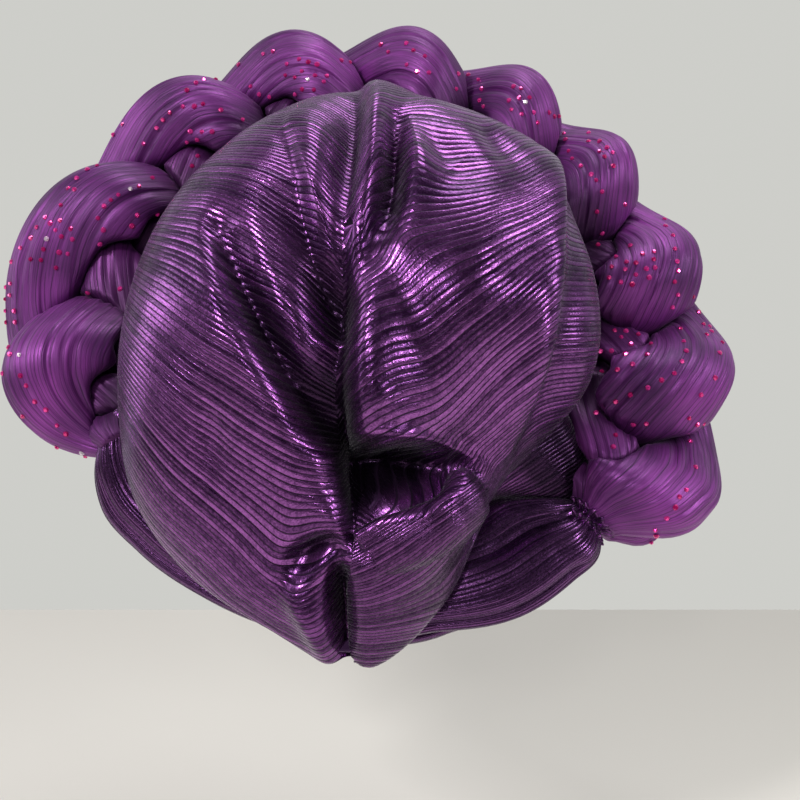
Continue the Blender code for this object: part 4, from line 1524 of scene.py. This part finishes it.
@dataclass
class Studio:
    """A pale table, a grey room, soft lights and the camera behind the wearer."""

    eye_distance: float = 0.55
    eye_elevation: float = math.radians(15.0)
    metres_each_pixel: float = 0.00046
    frame_pixels: int = 800
    origin_pixel: Pair = (362.0, 336.0)
    table_height: float = -0.26
    table_back: float = 0.265
    table_reach: float = 1.6
    sensor_width: float = 36.0
    seen_colour: Colour = (0.615, 0.617, 0.588)
    lit_colour: Colour = (0.86, 0.84, 0.90)
    lit_fall: tuple[float, ...] = (-0.45, 0.85, 0.035, 0.60)
    table_colour: Colour = (0.84, 0.82, 0.75)
    aim: Point = (0.0, -0.02, 0.02)
    lamps: tuple[tuple[str, Point, Pair, float, Colour], ...] = (
        # name, place, width and height, watts, tint
        ("window_left", (-0.80, -0.80, 0.90), (0.17, 0.30), 10.5, (1.0, 0.97, 0.99)),
        ("window_front", (-0.15, -1.20, 0.62), (0.12, 0.22), 2.8, (1.0, 1.0, 1.0)),
        ("soft_top", (0.15, 0.35, 1.25), (0.8, 0.5), 8.0, (1.0, 1.0, 1.0)),
        ("soft_right", (1.0, -0.15, 0.55), (0.25, 0.5), 3.4, (1.0, 1.0, 1.0)),
        ("window_right", (1.00, -0.80, 0.42), (0.14, 0.32), 3.9, (1.0, 1.0, 1.0)),
        ("soft_left", (-1.1, 0.10, 0.35), (0.5, 0.8), 3.6, (1.0, 1.0, 1.0)),
    )

    def camera(self) -> None:
        """Aim the camera so that the origin falls on its pixel, without any shift."""
        half = self.frame_pixels / 2
        right = (half - self.origin_pixel[0]) * self.metres_each_pixel
        drop = (self.origin_pixel[1] - half) * self.metres_each_pixel
        sine, cosine = math.sin(self.eye_elevation), math.cos(self.eye_elevation)
        lens = bpy.data.cameras.new("photo_camera")
        lens.sensor_width = self.sensor_width
        seen_width = self.frame_pixels * self.metres_each_pixel
        lens.lens = self.sensor_width * self.eye_distance / seen_width
        lens.clip_start = 0.01
        holder = add_object("photo_camera", lens)
        holder.location = (right, -self.eye_distance * cosine + drop * sine,
                           self.eye_distance * sine + drop * cosine)
        holder.rotation_euler = (math.pi / 2 - self.eye_elevation, 0.0, 0.0)
        bpy.context.scene.camera = holder

    def table(self) -> None:
        """A wide pale table top whose far edge is the photograph's horizon."""
        wide, back, height = self.table_reach, self.table_back, self.table_height
        corners = [(-wide, -wide, height), (wide, -wide, height), (wide, back, height),
                   (-wide, back, height)]
        mesh = bpy.data.meshes.new("table_top")
        mesh.from_pydata(corners, [], [(0, 1, 2, 3)])
        top = add_object("table_top", mesh)
        top.data.materials.append(PlainPaper("pale_table", self.table_colour).material())

    def room(self) -> None:
        """A pale grey seen behind the object, and a dimmer one that lights it."""
        world = bpy.data.worlds.new("grey_room")
        world.use_nodes = True
        nodes, links = world.node_tree.nodes, world.node_tree.links
        seen = nodes["Background"]
        seen.inputs["Color"].default_value = (*self.seen_colour, 1.0)
        lighting = nodes.new("ShaderNodeBackground")
        lighting.inputs["Color"].default_value = (*self.lit_colour, 1.0)
        way = nodes.new("ShaderNodeSeparateXYZ")
        links.new(nodes.new("ShaderNodeTexCoord").outputs["Generated"], way.inputs[0])
        fall = nodes.new("ShaderNodeMapRange")
        for socket, value in zip(fall.inputs[1:5], self.lit_fall):
            socket.default_value = value
        links.new(way.outputs["Y"], fall.inputs[0])
        links.new(fall.outputs[0], lighting.inputs["Strength"])
        path = nodes.new("ShaderNodeLightPath")
        mix = nodes.new("ShaderNodeMixShader")
        links.new(path.outputs["Is Camera Ray"], mix.inputs[0])
        links.new(lighting.outputs[0], mix.inputs[1])
        links.new(seen.outputs[0], mix.inputs[2])
        links.new(mix.outputs[0], nodes["World Output"].inputs["Surface"])
        bpy.context.scene.world = world

    def lamp(self, name: str, place: Point, size: Pair, power: float, colour: Colour) -> None:
        """One soft box aimed at the object.

        Args:
            name: what it is called.
            place: where it stands.
            size: its width and height.
            power: its power in watts.
            colour: its tint.
        """
        data = bpy.data.lights.new(name, "AREA")
        data.shape = "RECTANGLE"
        data.size, data.size_y = size
        data.energy = power
        data.color = colour
        holder = add_object(name, data)
        holder.location = place
        way = Vector(self.aim) - Vector(place)
        holder.rotation_euler = way.to_track_quat("-Z", "Y").to_euler()

    def build(self) -> None:
        """Set the whole studio."""
        self.camera()
        self.table()
        self.room()
        for lamp in self.lamps:
            self.lamp(*lamp)
        bpy.context.scene.view_settings.view_transform = "Standard"


RIGHT_BAND: Table = (
    # angle, middle, half height, rise, half thickness, as in the solids
    (131.8, 0.76, 0.22, 0.32, 0.42), (135.5, 0.70, 0.40, 0.38, 0.56),
    (142.0, 0.56, 0.53, 0.44, 0.60), (152.0, 0.50, 0.55, 0.48, 0.54),
    (166.0, 0.42, 0.44, 0.48, 0.46), (178.0, 0.36, 0.38, 0.48, 0.42),
    (183.0, 0.28, 0.22, 0.48, 0.25), (185.0, 0.22, 0.05, 0.48, 0.06),
)
LEFT_BAND: Table = (
    # angle, middle, half height, rise, half thickness, as in the solids
    (-113.0, 0.40, 0.16, 1.10, 0.30), (-119.0, 0.48, 0.36, 0.74, 0.60),
    (-127.0, 0.52, 0.48, 0.36, 0.66), (-137.0, 0.47, 0.48, 0.08, 0.62),
    (-152.0, 0.41, 0.43, -0.20, 0.46), (-172.0, 0.38, 0.41, -0.40, 0.38),
    (-195.0, 0.42, 0.43, -0.46, 0.38), (-206.0, 0.42, 0.36, -0.50, 0.32),
    (-211.0, 0.36, 0.20, -0.40, 0.20), (-213.0, 0.32, 0.05, -0.36, 0.06),
)
RIGHT_BAND_FOLDS: Table = (
    # place round the band, start, end, width, depth
    (0.27, 0.00, 0.50, 0.030, -0.0040), (0.07, 0.10, 0.90, 0.030, -0.0020),
    (0.17, 0.00, 0.35, 0.025, -0.0007), (0.42, 0.05, 0.70, 0.030, -0.0014),
)
LEFT_BAND_FOLDS: Table = (
    # place round the band, start, end, width, depth
    (0.38, 0.00, 0.40, 0.030, -0.0035), (0.30, 0.00, 0.50, 0.030, -0.0014),
    (0.10, 0.08, 1.00, 0.030, -0.0016), (0.20, 0.00, 0.35, 0.025, -0.0010),
)


STONES: dict[int, Table] = {
    # strand: angle round the halo, place round the strand, for each stone
    0: (
        (-83.5, 0.19), (-81.7, 0.31), (-49.7, 0.07), (-48.8, 0.26), (-47.9, 0.11), (-45.3, 0.27),
        (-43.6, 0.27), (-42.7, 0.39), (-41.9, 0.27), (-41, 0.37), (-41, 0.4), (-39.3, 0.28),
        (-39.3, 0.39), (-37.5, 0.3), (-37.5, 0.4), (-36.7, 0.22), (-35.8, 0.3), (-34.1, 0.17),
        (-33.2, 0.33), (-32.3, 0.15), (-29.7, 0.09), (-29.7, 0.35), (20.6, 0.17), (23.2, 0.21),
        (24.9, 0.27), (25.8, 0.33), (27.5, 0.36), (31.8, 0.25), (32.7, 0.31), (33.6, 0.24),
        (34.4, 0.27), (34.4, 0.33), (36.2, 0.23), (36.2, 0.26), (37, 0.3), (38.8, 0.24),
        (40.5, 0.15), (40.5, 0.23), (41.4, 0.07), (41.4, 0.12), (70.8, 0.24), (85.6, 0.09),
        (89, 0.1), (89, 0.13), (90.8, 0.12), (91.6, 0.25), (92.5, 0.16), (93.4, 0.1), (96, 0.26),
        (96.8, 0.13), (96.8, 0.36), (98.6, 0.25), (100.3, 0.36), (100.3, 0.41), (101.2, 0.25),
        (102, 0.12), (102.9, 0.38), (103.8, 0.25), (104.6, 0.4), (105.5, 0.13), (105.5, 0.27),
        (107.2, 0.29), (108.1, 0.04), (109, 0.07), (109, 0.11), (109, 0.32), (110.7, 0.34),
        (112.4, 0.21), (113.3, 0.24), (122, 0.32),
    ),
    1: (
        (-116.4, 0.04), (-116.4, 0.96), (-112.9, 0), (-112.9, 0.14), (-111.2, 0.15),
        (-108.6, 0.17), (-107.7, 0.07), (-106.9, 0.15), (-104.3, 0.15), (-102.5, 0.14),
        (-100.8, 0.07), (-99.1, 0.14), (-98.2, 0.1), (-96.5, 0.08), (-45.3, 0.29), (-42.7, 0.3),
        (-23.7, 0.1), (-23.7, 0.26), (-22.8, 0.32), (-21.1, 0.36), (-19.3, 0.18), (-17.6, 0.2),
        (-16.7, 0.33), (-15.9, 0.29), (-15.9, 0.4), (-15, 0.35), (-14.1, 0.39), (-13.3, 0.28),
        (-13.3, 0.33), (-12.4, 0.36), (-11.5, 0.29), (-11.5, 0.39), (-10.7, 0.34), (-9.8, 0.29),
        (-8.9, 0.35), (-8.1, 0.32), (-4.6, 0.17), (-2.9, 0.13), (43.1, 0.18), (44.8, 0.23),
        (47.4, 0.16), (48.3, 0.3), (50, 0.23), (50.9, 0.33), (51.8, 0.2), (54.4, 0.2),
        (54.4, 0.24), (54.4, 0.33), (56.1, 0.19), (56.1, 0.23), (57.8, 0.3), (58.7, 0.2),
        (59.6, 0.28), (62.2, 0.25), (64.8, 0.12), (64.8, 0.26), (68.2, 0.22), (92.5, 0.25),
        (92.5, 0.29), (93.4, 0.22), (94.2, 0.29), (95.1, 0.37), (96, 0.28), (97.7, 0.36),
        (97.7, 0.39), (108.1, 0.16), (110.7, 0.18), (115.9, 0.17), (121.1, 0.16), (122.8, 0.16),
        (124.6, 0.14), (126.3, 0.11), (128, 0.01), (128, 0.06),
    ),
    2: (
        (-88.7, 0.12), (-87.8, 0.06), (-86.9, 0.12), (-86.1, 0.06), (-84.3, 0.06), (-84.3, 0.1),
        (-82.6, 0.06), (-82.6, 0.1), (-80, 0.27), (-79.1, 0.08), (-79.1, 0.17), (-79.1, 0.21),
        (-77.4, 0.12), (-77.4, 0.21), (-77.4, 0.27), (-77.4, 0.3), (-75.7, 0.14), (-75.7, 0.21),
        (-74.8, 0.26), (-74.8, 0.3), (-73.9, 0.15), (-73.9, 0.23), (-73.9, 0.38), (-73.1, 0.2),
        (-73.1, 0.28), (-72.2, 0.17), (-72.2, 0.23), (-71.3, 0.37), (-69.6, 0.2), (-69.6, 0.34),
        (-67.9, 0.42), (-67, 0.33), (-66.1, 0.17), (-66.1, 0.2), (-65.3, 0.33), (-65.3, 0.41),
        (-63.5, 0.15), (-63.5, 0.33), (-61.8, 0.44), (-60.9, 0.14), (-60.9, 0.33), (-59.2, 0.14),
        (-59.2, 0.33), (-54.9, 0.29), (3.2, 0.2), (4.9, 0.26), (8.4, 0.22), (9.3, 0.32),
        (10.2, 0.25), (11.9, 0.33), (12.8, 0.25), (14.5, 0.3), (19.7, 0.14), (20.6, 0.21),
        (63.9, 0.24), (69.1, 0.13), (71.7, 0.17), (75.2, 0.18), (75.2, 0.34), (76.9, 0.39),
        (78.6, 0.19), (78.6, 0.27), (78.6, 0.31), (79.5, 0.36), (79.5, 0.4), (80.4, 0.27),
        (80.4, 0.33), (81.2, 0.18), (81.2, 0.36), (82.1, 0.26), (82.1, 0.29), (82.1, 0.4),
        (83, 0.17), (83, 0.32), (83.8, 0.27), (83.8, 0.36), (84.7, 0.17), (84.7, 0.32),
        (85.6, 0.05), (86.4, 0.14), (88.2, 0.14), (102.9, 0.28), (113.3, 0.31), (116.8, 0.26),
        (119.4, 0.28), (127.2, 0),
    ),
}


def main() -> None:
    """Build every piece in order and report each one."""
    logging.basicConfig(level=logging.INFO, format="%(name)s: %(message)s")
    Studio().build()
    satin = PaddedSatin().material()
    lame = PleatedLame().material()
    # The bands' lamé: the same cloth painted darker, as painted shade under the bag, with finer
    # relief and glitter.
    gathered = PleatedLame(name="shaded_band_lame", rib_colour=(0.22, 0.080, 0.26),
                           deep_colour=(0.045, 0.014, 0.060), relief=0.00016,
                           glitter=0.00005).material()
    lining = PlainLining().material()
    bag = CrownBag()
    whole = bag.build(lame, lining)
    TailFlap().build(bag, whole, lame)
    braid = HaloBraid()
    braid.build(satin)
    Rhinestones(STONES).build(braid, CutGlass().material())
    NapeBand("left_band_cloth", "nape_band_left", LEFT_BAND, LEFT_BAND_FOLDS, 71).build(gathered)
    NapeBand("right_band_cloth", "nape_band_right", RIGHT_BAND, RIGHT_BAND_FOLDS,
             72).build(gathered)
    PinchGathers("right_gathers", 131.4, 0.1315, 0.0065, 0.0080, (0.0125, 0.0120)).build(lame)


if __name__ == "__main__":
    main()
